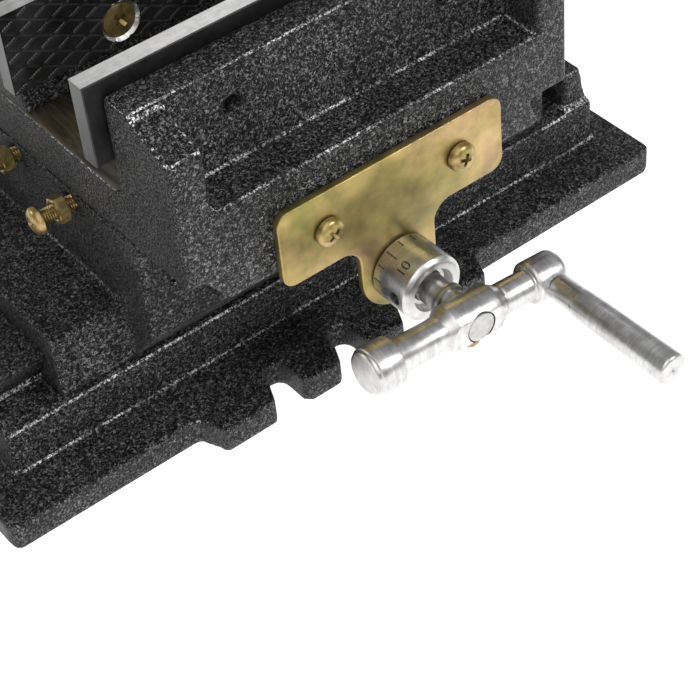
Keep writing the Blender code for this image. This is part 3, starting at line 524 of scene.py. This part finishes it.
def casting(node, body, voxel, rounds, machined, bores=()):
    """A rounded copy of a CAD casting, with a painted glint on the narrow tilted strips of its
    rounded edges and fillets.

    machined(centre, normal) gives the number of each face's look.
    """
    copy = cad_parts[node].data.copy()
    holder = bpy.data.objects.new("casting_target", copy)
    bpy.context.scene.collection.objects.link(holder)
    remesh = holder.modifiers.new("remesh", "REMESH")
    remesh.mode = "VOXEL"
    remesh.voxel_size = voxel * MM
    relax = holder.modifiers.new("relax", "SMOOTH")
    relax.factor = 0.5
    relax.iterations = rounds
    mesh = applied(holder)
    mesh.materials.clear()
    for look in CASTING_LOOKS:
        mesh.materials.append(LOOKS[look])
    for face in mesh.polygons:
        face.material_index = machined(face.center / MM, face.normal)
    holder = bpy.data.objects.new("casting_target", mesh)
    bpy.context.scene.collection.objects.link(holder)
    thin = holder.modifiers.new("thin", "DECIMATE")
    thin.decimate_type = "DISSOLVE"
    thin.angle_limit = math.radians(FLAT_ENOUGH)
    thin.delimit = {"MATERIAL"}
    mesh = applied(holder)
    # Painted glint: narrow tilted strips of the rounded edges and fillets take the brighter paint,
    # as if they caught the lights.
    for face in mesh.polygons:
        tilted = PAINTED_GLINT_TILT[0] < face.normal.z < PAINTED_GLINT_TILT[1]
        if tilted and face.material_index == PAINT and strip_width(mesh, face) < PAINTED_GLINT_WIDTH:
            face.material_index = PAINTED_GLINT
    if bores:
        mesh = carve(mesh, *bores, smooth_angle=40)
    holder = bpy.data.objects.new("casting_target", mesh)
    bpy.context.scene.collection.objects.link(holder)
    weigh = holder.modifiers.new("weigh", "WEIGHTED_NORMAL")
    weigh.weight = 60
    weigh.keep_sharp = True
    mesh = applied(holder)
    return piece(node.replace("_casting", "_cast_iron"), mesh, body, nodes=[node])


LEVEL = 0.95


def near(value, target, within):
    return abs(value - target) < within


def widest_top(node):
    """Height in millimetres of a casting's largest level upward area."""
    areas = {}
    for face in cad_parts[node].data.polygons:
        if face.normal.z > 0.98:
            height = round(face.center.z / MM, 1)
            areas[height] = areas.get(height, 0) + face.area
    return max(areas, key=areas.get)


def make_castings():
    saddle_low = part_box("saddle_casting")[0].z / MM
    bed = widest_top("vise_body_casting")

    def base_cut(c, n):
        return WAY if near(c.z, 0, 0.5) and n.z < -LEVEL else PAINT

    def saddle_cut(c, n):
        return WAY if near(c.z, saddle_low, 0.5) and n.z < -LEVEL else PAINT

    def body_cut(c, n):
        return BED if near(c.z, bed, 0.6) and n.z > LEVEL else PAINT

    bore_rows = threaded(-6, -0.6, 2.9, 0.2) + [(-0.4, 3.0), (6, 3.0)]
    wall_bores = []
    for k in (1, 2):
        screw = centre("fixed_plate_screw_%d" % k)
        place = along((screw.x, WALL_BORE_Y, screw.z), (0, -1, 0))
        wall_bores.append(lathe("bore", bore_rows, place, 36, False, thread_radius(2.9, 3.2, 0.9)))
    casting("base_casting", "base", BASE_VOXEL, 6, base_cut)
    casting("saddle_casting", "saddle", BASE_VOXEL, 7, saddle_cut)
    casting("vise_body_casting", "vise_body", BODY_VOXEL, 6, body_cut, wall_bores)
    casting("moving_jaw_casting", "moving_jaw", BODY_VOXEL, 6, lambda c, n: PAINT)


# ---------------------------------------------------------------- fasteners

def thread_radius(crest, root, pitch, crest_share=0.35):
    """Radius of a right-handed thread at a distance along and an angle about its axis."""
    def radius(t, a, r):
        if abs(r - crest) > 0.001:
            return r
        phase = (t / pitch - a / (2 * math.pi)) % 1
        rise = (1 - crest_share) / 2
        if phase < crest_share:
            return crest
        if phase < crest_share + rise:
            return crest + (root - crest) * min(1, (phase - crest_share) / rise * 1.3)
        return root + (crest - root) * max(0, 1 - (1 - phase) / rise * 1.3)
    return radius


def threaded(low, high, crest, step):
    """Outline rows close enough together to carry a thread."""
    count = max(2, round((high - low) / step))
    return [(low + (high - low) * k / count, crest) for k in range(count + 1)]


def cross_tool(depth, reach, width):
    """A cross-recess punch: two tapered blades meeting at a point."""
    parts = []
    for quarter in (0, math.pi / 2):
        turn = Matrix.Rotation(quarter, 4, "Z")
        top = [(-reach, -width, 1), (reach, -width, 1), (reach, width, 1), (-reach, width, 1)]
        tip = reach * 0.38
        low = [(-tip, -width * 0.7, -depth), (tip, -width * 0.7, -depth),
               (tip, width * 0.7, -depth), (-tip, width * 0.7, -depth)]
        points = [turn @ Vector(p) for p in top + low]
        faces = [(0, 1, 2, 3), (4, 5, 6, 7)]
        faces += [(k, (k + 1) % 4, (k + 1) % 4 + 4, k + 4) for k in range(4)]
        parts.append(mesh_of("blade", points, faces))
    return parts


PAN_HEAD = (4.8, 3.2)
SMALL_PAN_HEAD = (4.6, 3.0)
M5_SHANK = 2.5
SUNK_HEAD_RADIUS = 5.5
RECESS_DEPTH = 1.9


def phillips(radius, height, shank, length, sunk, thread_from=0.0):
    """A cross-recessed screw, head up, with its shank threaded below -thread_from."""
    rows = threaded(-length, -thread_from - 0.1, shank, 0.2)
    if sunk:
        head = [(-(radius - shank), shank), (-0.35, radius), (0, radius), (0.25, radius * 0.9),
                (0.5, radius * 0.55), (0.55, 0.3)]
    else:
        head = [(0, shank), (0, radius * 0.96), (0.25, radius), (height * 0.45, radius * 0.985),
                (height * 0.72, radius * 0.86), (height * 0.9, radius * 0.6),
                (height, radius * 0.3), (height, 0.2)]
    outline = [(-length - 0.3, shank * 0.6)] + rows + head
    body = lathe("screw", outline, Matrix.Identity(4), 32, False,
                 thread_radius(shank, shank * 0.8, 0.8))
    top = 0.5 if sunk else height
    blades = cross_tool(RECESS_DEPTH, radius * 0.62, radius * 0.135)
    for blade in blades:
        blade.transform(Matrix.Translation((0, 0, top * MM)))
    return carve(body, *blades)


def set_screws(prefix, count, mesh, direction, body, shift=0.0, spin=0.3):
    """Put a copy of a screw at each CAD node's head, pointing outward."""
    aim = Vector(direction)
    for k in range(1, count + 1):
        node = "%s_%d" % (prefix, k)
        low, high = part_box(node)
        middle = (low + high) / 2
        edge = Vector([(high if aim[i] > 0 else low)[i] if aim[i] else middle[i]
                       for i in range(3)]) / MM
        place = along(edge + aim * shift, aim, spin * k * 2.1)
        place.translation *= MM
        copy = mesh.copy()
        copy.transform(place)
        piece(node + "_detail", copy, body, "zinc_screw", nodes=[node])


def hexagon_nut(across, thick, bore):
    """A chamfered hexagon nut with a plain round bore, lying on z = 0."""
    corner = across / math.sqrt(3)

    def hexagon(t, a, r):
        if r < corner * 0.75:
            return r
        flat = (a % (math.pi / 3)) - math.pi / 6
        limit = across / 2 / math.cos(flat)
        cap = across / 2 + (0.02 if 0.01 < t < thick - 0.01 else -0.25)
        cap += min(t, thick - t) * 1.8
        return min(limit, cap)
    rows = [(0, bore + 0.5), (0, corner), (0.3, corner), (0.6, corner), (thick / 2, corner),
            (thick - 0.6, corner), (thick - 0.3, corner), (thick, corner), (thick, bore + 0.5),
            (thick - 0.4, bore), (0.4, bore)]
    return lathe("nut", rows, Matrix.Identity(4), 48, True, hexagon)


def make_fasteners():
    make_phillips_screws()
    make_lock_nuts()
    make_cap_screws()


def make_phillips_screws():
    pan = phillips(*PAN_HEAD, M5_SHANK, 12, False, 0.2)
    for prefix, direction, body in (("upper_bracket_screw", (0, -1, 0), "vise_body"),
                                    ("lower_bracket_screw", (-1, 0, 0), "base")):
        set_screws(prefix, 2, pan, direction, body, -PAN_HEAD[1])
    head = SMALL_PAN_HEAD[1]
    small = phillips(*SMALL_PAN_HEAD, M5_SHANK, 13, False, 0.2)
    set_screws("screw_retainer_screw", 2, small, (0, 1, 0), "moving_jaw", -head)
    low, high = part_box("upper_gib_screw_1")
    shank = (high.x - low.x) / MM - head - 0.4
    long = phillips(*SMALL_PAN_HEAD, M5_SHANK, shank, False, 0.2)
    set_screws("upper_gib_screw", 3, long, (-1, 0, 0), "saddle", -head)
    low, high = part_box("lower_gib_screw_1")
    shank = (high.y - low.y) / MM - head - 0.4
    rear = phillips(*SMALL_PAN_HEAD, M5_SHANK, shank, False, 0.2)
    set_screws("lower_gib_screw", 3, rear, (0, 1, 0), "saddle", -head)
    sunk = phillips(SUNK_HEAD_RADIUS, 0, 2.9, 10.4, True, 2.6)
    set_screws("fixed_plate_screw", 2, sunk, (0, 1, 0), "vise_body")
    set_screws("moving_plate_screw", 2, sunk, (0, -1, 0), "moving_jaw")


def make_lock_nuts():
    nut = hexagon_nut(8.0, 4.0, 2.6)
    for prefix, direction in (("upper_gib_lock_nut", (-1, 0, 0)),
                              ("lower_gib_lock_nut", (0, 1, 0))):
        aim = Vector(direction)
        for k in range(1, 4):
            node = "%s_%d" % (prefix, k)
            place = along(centre(node) - aim * 2, aim, 0.4 * k)
            place.translation *= MM
            copy = nut.copy()
            copy.transform(place)
            piece(node + "_detail", copy, "saddle", "zinc_screw", nodes=[node])


def make_cap_screws():
    """Socket cap screws of the lead nuts and of the jaw keeper."""
    for prefix, direction, body in (("upper_nut_screw", (0, 0, 1), "saddle"),
                                    ("lower_nut_screw", (0, 0, 1), "saddle"),
                                    ("jaw_keeper_bolt", (0, 0, -1), "moving_jaw")):
        aim = Vector(direction)
        for k in (1, 2):
            node = "%s_%d" % (prefix, k)
            low, high = (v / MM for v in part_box(node))
            radius = (high.x - low.x) / 2
            length = high.z - low.z
            head = 4.0 if radius < 5 else 3.5
            shank = 2.5 if radius < 5 else 3.0
            outline = threaded(-length + head, -0.2, shank, 0.25)
            outline += rounded([(0, shank), (0, radius), (head, radius), (head, 2.4),
                                (head - 2, 2.3), (head - 2, 0.1)], 0.4)
            edge = Vector((centre(node).x, centre(node).y, (high.z if aim.z > 0 else low.z)))
            made = lathe(node, outline, along(edge - aim * head, aim), 36, False,
                         thread_radius(shank, shank * 0.82, 0.8))
            piece(node + "_detail", made, body, "oxide", nodes=[node])


# ---------------------------------------------------------------- jaw plates, gibs, nuts

SERRATION_PITCH = 5.4
SERRATION_SLOPE = 0.5
SERRATION_HALF_WIDTH = 0.55
SERRATION_DEPTH = 0.38
PLATE_STEP = 0.4
PLATE_CHAMFER = 0.35
PLATE_LOOKS = ("oxide", "ground", "plate_end", "painted_groove_glint")
OXIDE, GROUND, PLATE_END, GROOVE_GLINT = range(4)
SINK_RADIUS = 6.7
# Width of the painted glint dashes, and their clearance from the other set of grooves.
DASH_WIDTH = 0.6
DASH_CLEARANCE = 0.9


def groove_place(point, low, way):
    """Height in millimetres over the groove below, of one slanting set of grooves."""
    at = (point.z - low.z) + way * SERRATION_SLOPE * (point.x - low.x)
    return at % SERRATION_PITCH


def groove_share(point, low, way):
    """Distance in millimetres, straight up, from the nearest groove of one slanting set."""
    at = groove_place(point, low, way)
    return min(at, SERRATION_PITCH - at)


def serrated_plate(node, body, toward):
    """A jaw plate whose gripping face is cut by two sets of slanting grooves, with painted glint
    dashes along the grooves of one set.
    """
    low, high = (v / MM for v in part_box(node))
    face, back = (high.y, low.y) if toward > 0 else (low.y, high.y)
    step = PLATE_STEP
    columns = round((high.x - low.x) / step)
    rows = round((high.z - low.z) / step)
    points = []
    for i in range(rows + 1):
        z = low.z + (high.z - low.z) * i / rows
        for j in range(columns + 1):
            x = low.x + (high.x - low.x) * j / columns
            rim = min(x - low.x, high.x - x, z - low.z, high.z - z)
            groove = 0
            for way in (1, -1):
                share = groove_share(Vector((x, 0, z)), low, way)
                groove = max(groove, max(0, 1 - share / SERRATION_HALF_WIDTH))
            dent = SERRATION_DEPTH * groove * min(1, max(0, rim) * 2)
            points.append((x, face - toward * dent, z))
    count = len(points)
    faces = grid_faces(rows + 1, columns + 1, False)
    for inset, y in ((0, back + toward * PLATE_CHAMFER), (PLATE_CHAMFER, back)):
        left, right = low.x + inset, high.x - inset
        bottom, top = low.z + inset, high.z - inset
        points += [(left, y, bottom), (right, y, bottom), (right, y, top), (left, y, top)]
    wide = columns + 1
    bottom = [j for j in range(wide)]
    top = [rows * wide + j for j in range(wide)]
    left = [i * wide for i in range(rows + 1)]
    right = [i * wide + columns for i in range(rows + 1)]
    faces += [(*bottom, count + 1, count), (*top, count + 2, count + 3),
              (*left, count + 3, count), (*right, count + 2, count + 1)]
    for k in range(4):
        n = (k + 1) % 4
        faces.append((count + k, count + n, count + n + 4, count + k + 4))
    faces.append((count + 4, count + 5, count + 6, count + 7))
    mesh = mesh_of(node, points, faces, 25)
    screws = [centre(node.replace("jaw_plate", "plate_screw") + "_%d" % k) for k in (1, 2)]
    sinks = [lathe("sink", [(-12, 3.3), (-3.3, 3.3), (1, 7.6)],
                   along((screw.x, face, screw.z), (0, toward, 0)), 40) for screw in screws]
    mesh = carve(mesh, *sinks)
    mesh.materials.clear()
    for look in PLATE_LOOKS:
        mesh.materials.append(LOOKS[look])
    for polygon in mesh.polygons:
        c, n = polygon.center / MM, polygon.normal
        sunk = min(math.hypot(c.x - s.x, c.z - s.z) for s in screws) < SINK_RADIUS
        dashed = abs(c.y - face) < 0.37 and groove_place(c, low, -1) < DASH_WIDTH
        if sunk or n.z > 0.9:
            polygon.material_index = GROUND
        elif abs(n.x) > 0.9:
            polygon.material_index = PLATE_END
        # Painted glint: strips along one set of grooves, clear of the crossings, get bright steel
        # standing in for the light those groove edges catch.
        elif dashed and groove_share(c, low, 1) > DASH_CLEARANCE:
            polygon.material_index = GROOVE_GLINT
        else:
            polygon.material_index = OXIDE
    piece(node + "_detail", mesh, body, nodes=[node])


def dress_plain_nodes():
    """CAD nodes whose shape is already right keep it and get a real finish."""
    for node, look in (("upper_gib_strip", "way"), ("lower_gib_strip", "way"),
                       ("upper_lead_nut", "bronze"), ("lower_lead_nut", "bronze"),
                       ("jaw_keeper_plate", "way")):
        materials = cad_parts[node].data.materials
        materials.clear()
        materials.append(LOOKS[look])


# ---------------------------------------------------------------- brackets

def plate_from_outline(name, outline, place, thickness, bores, bend=0.5):
    """A flat plate in place's XY plane from z = 0 to its thickness, rounded and bored."""
    count = len(outline)
    points = [place @ Vector((a, b, t)) for t in (0, thickness) for a, b in outline]
    faces = [tuple(range(count)), tuple(range(count, 2 * count))]
    faces += [(k, (k + 1) % count, (k + 1) % count + count, k + count) for k in range(count)]
    mesh = bevelled(mesh_of(name, points, faces), bend, 3)
    tools = []
    for a, b, radius in bores:
        tools.append(lathe("bore", [(-3, radius), (thickness + 3, radius)],
                           place @ Matrix.Translation((a, b, 0)), 40))
    return carve(mesh, *tools)


def arc(cx, cy, radius, start, stop, steps):
    turns = [math.radians(start + (stop - start) * k / steps) for k in range(steps + 1)]
    return [(cx + radius * math.cos(a), cy + radius * math.sin(a)) for a in turns]


BRACKET_CORNER = 4.5
BRACKET_NECK = 14.2
BRACKET_SHOULDER = 66.0
BRACKET_FILLET = 6.5
BRACKET_SCREW_HOLE = 2.8


def make_brackets():
    low, high = (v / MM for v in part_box("upper_bracket_plate"))
    axis = centre("upper_lead_screw")
    half, top, neck = (high.x - low.x) / 2, high.z, BRACKET_NECK
    shoulder, corner, fillet = BRACKET_SHOULDER, BRACKET_CORNER, BRACKET_FILLET
    outline = arc(half - corner, top - corner, corner, 0, 90, 8)
    outline += arc(-half + corner, top - corner, corner, 90, 180, 8)
    outline += arc(-half + corner, shoulder + corner, corner, 180, 270, 8)
    outline += arc(-neck - fillet, shoulder - fillet, fillet, 90, 0, 8)
    outline += arc(0, axis.z, neck, 180, 360, 32)
    outline += arc(neck + fillet, shoulder - fillet, fillet, 180, 90, 8)
    outline += arc(half - corner, shoulder + corner, corner, 270, 360, 8)
    place = Matrix(((1, 0, 0, 0), (0, 0, -1, high.y), (0, 1, 0, 0), (0, 0, 0, 1)))
    screws = [centre("upper_bracket_screw_%d" % k) for k in (1, 2)]
    bores = [(0, axis.z, JOURNAL_BORE)] + [(s.x, s.z, BRACKET_SCREW_HOLE) for s in screws]
    mesh = plate_from_outline("upper_bracket", outline, place, high.y - low.y, bores)
    piece("upper_bracket_detail", mesh, "vise_body", "zinc_plate", nodes=["upper_bracket_plate"])

    low, high = (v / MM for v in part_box("lower_bracket_plate"))
    axis = centre("lower_lead_screw")
    outline = []
    for y, z, start in ((high.y, high.z, 0), (low.y, high.z, 90), (low.y, low.z, 180),
                        (high.y, low.z, 270)):
        cy = y - corner if y > 0 else y + corner
        cz = z - corner if z > axis.z else z + corner
        outline += arc(cy, cz, corner, start, start + 90, 8)
    place = Matrix(((0, 0, -1, high.x), (1, 0, 0, 0), (0, 1, 0, 0), (0, 0, 0, 1)))
    screws = [centre("lower_bracket_screw_%d" % k) for k in (1, 2)]
    bores = [(0, axis.z, JOURNAL_BORE)] + [(s.y, s.z, BRACKET_SCREW_HOLE) for s in screws]
    mesh = plate_from_outline("lower_bracket", outline, place, high.x - low.x, bores)
    piece("lower_bracket_detail", mesh, "base", "zinc_plate", nodes=["lower_bracket_plate"])

    node = "screw_retainer_plate"
    copy = bevelled(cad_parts[node].data.copy(), 0.3, 2, 50)
    piece(node + "_detail", copy, "moving_jaw", "zinc_plate", nodes=[node])


# ---------------------------------------------------------------- lead screws, dials, cranks

def screw_frame(prefix):
    """Frame on a screw's axis at its crank arm: W outward, V up, U across. Also W itself."""
    outward = {"upper": (0, -1, 0), "lower": (-1, 0, 0), "clamp": (0, 1, 0)}[prefix]
    w = Vector(outward)
    v = Vector((0, 0, 1))
    u = v.cross(w)
    axis, arm = centre(prefix + "_lead_screw"), centre(prefix + "_crank_arm")
    middle = axis + w * (arm - axis).dot(w)
    return Matrix.Translation(middle) @ Matrix((u, v, w)).transposed().to_4x4(), w


def arm_frame(prefix):
    """The screw frame turned so that U runs along the crank arm to its grip."""
    place = screw_frame(prefix)[0]
    grip = place.inverted() @ centre(prefix + "_crank_grip")
    turn = math.atan2(grip.y, grip.x)
    return place @ Matrix.Rotation(turn, 4, "Z"), math.hypot(grip.x, grip.y)


def span(node, place, axis):
    """Lowest and highest value of a node's box along an axis of a frame."""
    low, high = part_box(node)
    back = place.inverted()
    values = [(back @ (Vector(c) / MM))[axis] for c in (low, high)]
    return min(values), max(values)


HUB_FLAT = 6.0
HUB_RADIUS = 7.5


def make_screw(prefix, pitch, thread_end):
    place, outward = screw_frame(prefix)
    body = prefix + "_screw"
    node = prefix + "_lead_screw"
    along_y = abs(outward.y) > 0.5
    low, high = span(node, place, 2)
    across = 0 if along_y else 1
    box_low, box_high = (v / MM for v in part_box(node))
    crest = (box_high[across] - box_low[across]) / 2
    journal = JOURNAL
    rows = threaded(low + 1.2, thread_end, crest, pitch / 9)
    if prefix == "clamp":
        head = [(low, 5), (low + 1.5, crest - 0.01), (low + 17.8, crest - 0.01),
                (low + 17.8, 5), (low + 22.1, 5), (low + 22.1, crest - 0.8)]
        rows = head + threaded(low + 23.5, thread_end, crest, pitch / 9)
    else:
        rows = [(low, crest - 1.2)] + rows
    rows += [(thread_end + 0.2, crest - 0.9), (thread_end + 0.4, journal)]
    hub = high - HUB_FLAT - HUB_RADIUS
    if prefix != "clamp":
        rows += [(hub - 3.2, journal), (hub - 3.0, journal + 0.9), (hub - 2.2, journal + 1.0),
                 (hub - 2.0, journal + 0.5), (hub - 1.6, journal + 0.5),
                 (hub - 1.4, journal + 0.9),
                 (hub - 0.5, journal + 0.9), (hub - 0.3, journal)]
    rows += [(high - 0.5, journal), (high - 0.15, journal - 0.1), (high, journal - 0.35),
             (high, 0.2)]
    mesh = lathe(node, rows, place, 40, False,
                 thread_radius(crest, crest - pitch * 0.42, pitch, 0.38))
    piece(node + "_detail", mesh, body, "screw_y" if along_y else "screw_x", nodes=[node])


def make_dial(prefix):
    place, outward = screw_frame(prefix)
    body = prefix + "_screw"
    along_y = abs(outward.y) > 0.5
    steel = "steel_y" if along_y else "steel_x"
    node = prefix + "_dial_collar"
    low, high = span(node, place, 2)
    cross = span(node, place, 0)
    radius = (cross[1] - cross[0]) / 2
    bore = JOURNAL_BORE
    outline = rounded([(low, bore), (low, radius - 0.4), (low + 0.5, radius),
                       (high - 1.3, radius), (high, radius - 1.3), (high, 7.4),
                       (high - 3.0, 6.4), (high - 3.0, bore), (low, bore)], 0.25, 2)
    collar = lathe(node, outline[:-1], place, 96, True)
    side = place @ Matrix.Translation((0, 0, low + 10.5)) @ Matrix.Rotation(-math.pi / 2, 4, "Y")
    collar = carve(collar, lathe("grub_bore", [(4, 2.1), (14, 2.1)], side, 32))
    piece(node + "_detail", collar, body, steel, nodes=[node])

    node = prefix + "_collar_grub_screw"
    grub = lathe(node, [(5.3, 1.2), (5.5, 1.7), (radius - 1.4, 1.7), (radius - 1.2, 1.5),
                        (radius - 1.2, 0.1)], side, 24, False)
    grub = carve(grub, box_mesh((-3, -0.28, radius - 2.2), (3, 0.28, radius), side))
    piece(node + "_detail", grub, body, "oxide", nodes=[node])
    make_dial_marks(prefix, place, body, low, radius)


DIAL_LINES = 15
DIAL_STEP = 24
FIRST_LINE = -31
NUMBER_SHIFT = -36
DIGIT_SIZE = 4.9


def make_dial_marks(prefix, place, body, low, radius):
    """Fifteen engraved lines, the longer ones numbered 0, 5 and 10, wrapped on the collar."""
    skin = radius + 0.02
    points, faces = [], []

    def patch(corners):
        start = len(points)
        for t, a in corners:
            points.append(place @ Vector((skin * math.sin(a), skin * math.cos(a), t)))
        faces.append(tuple(range(start, start + len(corners))))

    width = 0.22 / radius
    for k in range(DIAL_LINES):
        middle = math.radians(FIRST_LINE + DIAL_STEP * k)
        start, stop = low + 1.1, low + (5.9 if k % 5 == 0 else 3.9)
        patch([(start, middle - width), (start, middle + width),
               (stop, middle + width), (stop, middle - width)])
    for number in range(3):
        text = bpy.data.curves.new("dial_text", "FONT")
        text.body = str((number * 5 + 10) % DIAL_LINES)
        text.size = DIGIT_SIZE
        text.offset = 0.06
        text.align_x = "CENTER"
        holder = bpy.data.objects.new("dial_text", text)
        bpy.context.scene.collection.objects.link(holder)
        flat = applied(holder)
        middle = math.radians(5 * DIAL_STEP * number + NUMBER_SHIFT)
        start = len(points)
        for vertex in flat.vertices:
            a = middle + vertex.co.x / skin
            points.append(place @ Vector((skin * math.sin(a), skin * math.cos(a),
                                          low + 11.5 - vertex.co.y)))
        for polygon in flat.polygons:
            faces.append(tuple(start + v for v in polygon.vertices))
    mesh = mesh_of(prefix + "_dial_marks", points, faces)
    piece(prefix + "_dial_marks", mesh, body, "ink")


ARM_LEFT = -38.8
ARM_RIGHT = 35.0
ARM_HUB = 7.4
ARM_KNOB = 7.6
ARM_BOSS = 6.9


def make_crank(prefix):
    place, reach = arm_frame(prefix)
    outward = screw_frame(prefix)[1]
    body = prefix + "_screw"
    along_y = abs(outward.y) > 0.5
    arm_steel, grip_steel = ("steel_x", "steel_y") if along_y else ("steel_y", "steel_x")
    node = prefix + "_crank_arm"
    left, right, hub, knob, boss = ARM_LEFT, ARM_RIGHT, ARM_HUB, ARM_KNOB, ARM_BOSS
    outline = [(left, 0.3), (left, knob - 1.5), (left + 0.35, knob - 0.75),
               (left + 1.3, knob - 0.5), (left + 1.5, knob), (-29.1, knob), (-28.8, knob - 0.5),
               (-28.75, 5.5), (-12.2, 5.3), (-11.3, 5.3), (-8.4, hub), (7.9, hub - 0.1),
               (8.6, hub - 0.8), (10.9, 5.3), (11.2, 4.85), (11.8, 4.8), (12.2, 5.05),
               (22.0, 4.95), (22.3, 5.7), (22.6, 5.7), (22.8, boss - 0.6), (23.6, boss),
               (right - 2.2, boss - 0.1), (right - 0.8, boss - 0.8), (right, boss - 2.4),
               (right, 0.3)]
    lie = place @ Matrix.Rotation(math.pi / 2, 4, "Y")
    arm = lathe(node, rounded(outline, 0.35, 2), lie, 80)
    grip_place = place @ Matrix.Translation((reach, 0, 0))
    under = place @ Matrix.Rotation(math.pi / 2, 4, "X")
    arm = carve(arm, lathe("flat", [(6.0, 10.5), (14, 10.5)], place, 64),
                lathe("bore", [(-12, JOURNAL_BORE), (12, JOURNAL_BORE)], place, 48),
                lathe("bore", [(-10, 3.3), (10, 3.3)], grip_place, 32),
                lathe("bore", [(0, 2.2), (12, 2.2)], under, 24))
    piece(node + "_detail", arm, body, arm_steel, nodes=[node])

    node = prefix + "_crank_grip"
    start, stop = span(node, place, 2)
    seat = boss + 0.3
    outline = [(start, 3.0), (seat - 0.6, 3.0), (seat - 0.6, 4.1), (seat + 8.4, 4.3),
               (seat + 9.0, 4.55), (seat + 12, 4.6), (seat + 20, 4.85), (stop - 0.8, 5.15),
               (stop, 4.5), (stop, 0.75), (stop - 0.5, 0.15)]
    grip = lathe(node, rounded(outline, 0.4, 2), grip_place, 64)
    piece(node + "_detail", grip, body, grip_steel, nodes=[node])

    node = prefix + "_crank_set_screw"
    screw = phillips(3.6, 2.5, 1.9, hub - 5.3, False, 0.1)
    seat = under @ Matrix.Translation((0, 0, hub + 0.15))
    seat.translation *= MM
    screw.transform(seat)
    piece(node + "_detail", screw, body, "zinc_screw", nodes=[node])


SLIDE_PITCH = 3.0
CLAMP_PITCH = 4.0
SLIDE_THREAD_END = -34.0
CLAMP_THREAD_END = -12.2


def make_drives():
    for prefix in ("upper", "lower"):
        make_dial(prefix)
        make_screw(prefix, SLIDE_PITCH, SLIDE_THREAD_END)
        make_crank(prefix)
    make_screw("clamp", CLAMP_PITCH, CLAMP_THREAD_END)
    make_crank("clamp")
    node = "clamp_screw_nut"
    copy = bevelled(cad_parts[node].data.copy(), 0.4, 2, 50)
    piece(node + "_detail", copy, "vise_body", "bronze", nodes=[node])


make_camera()
make_studio()
make_looks()
make_castings()
make_fasteners()
serrated_plate("fixed_jaw_plate", "vise_body", 1)
serrated_plate("moving_jaw_plate", "moving_jaw", -1)
dress_plain_nodes()
make_brackets()
make_drives()
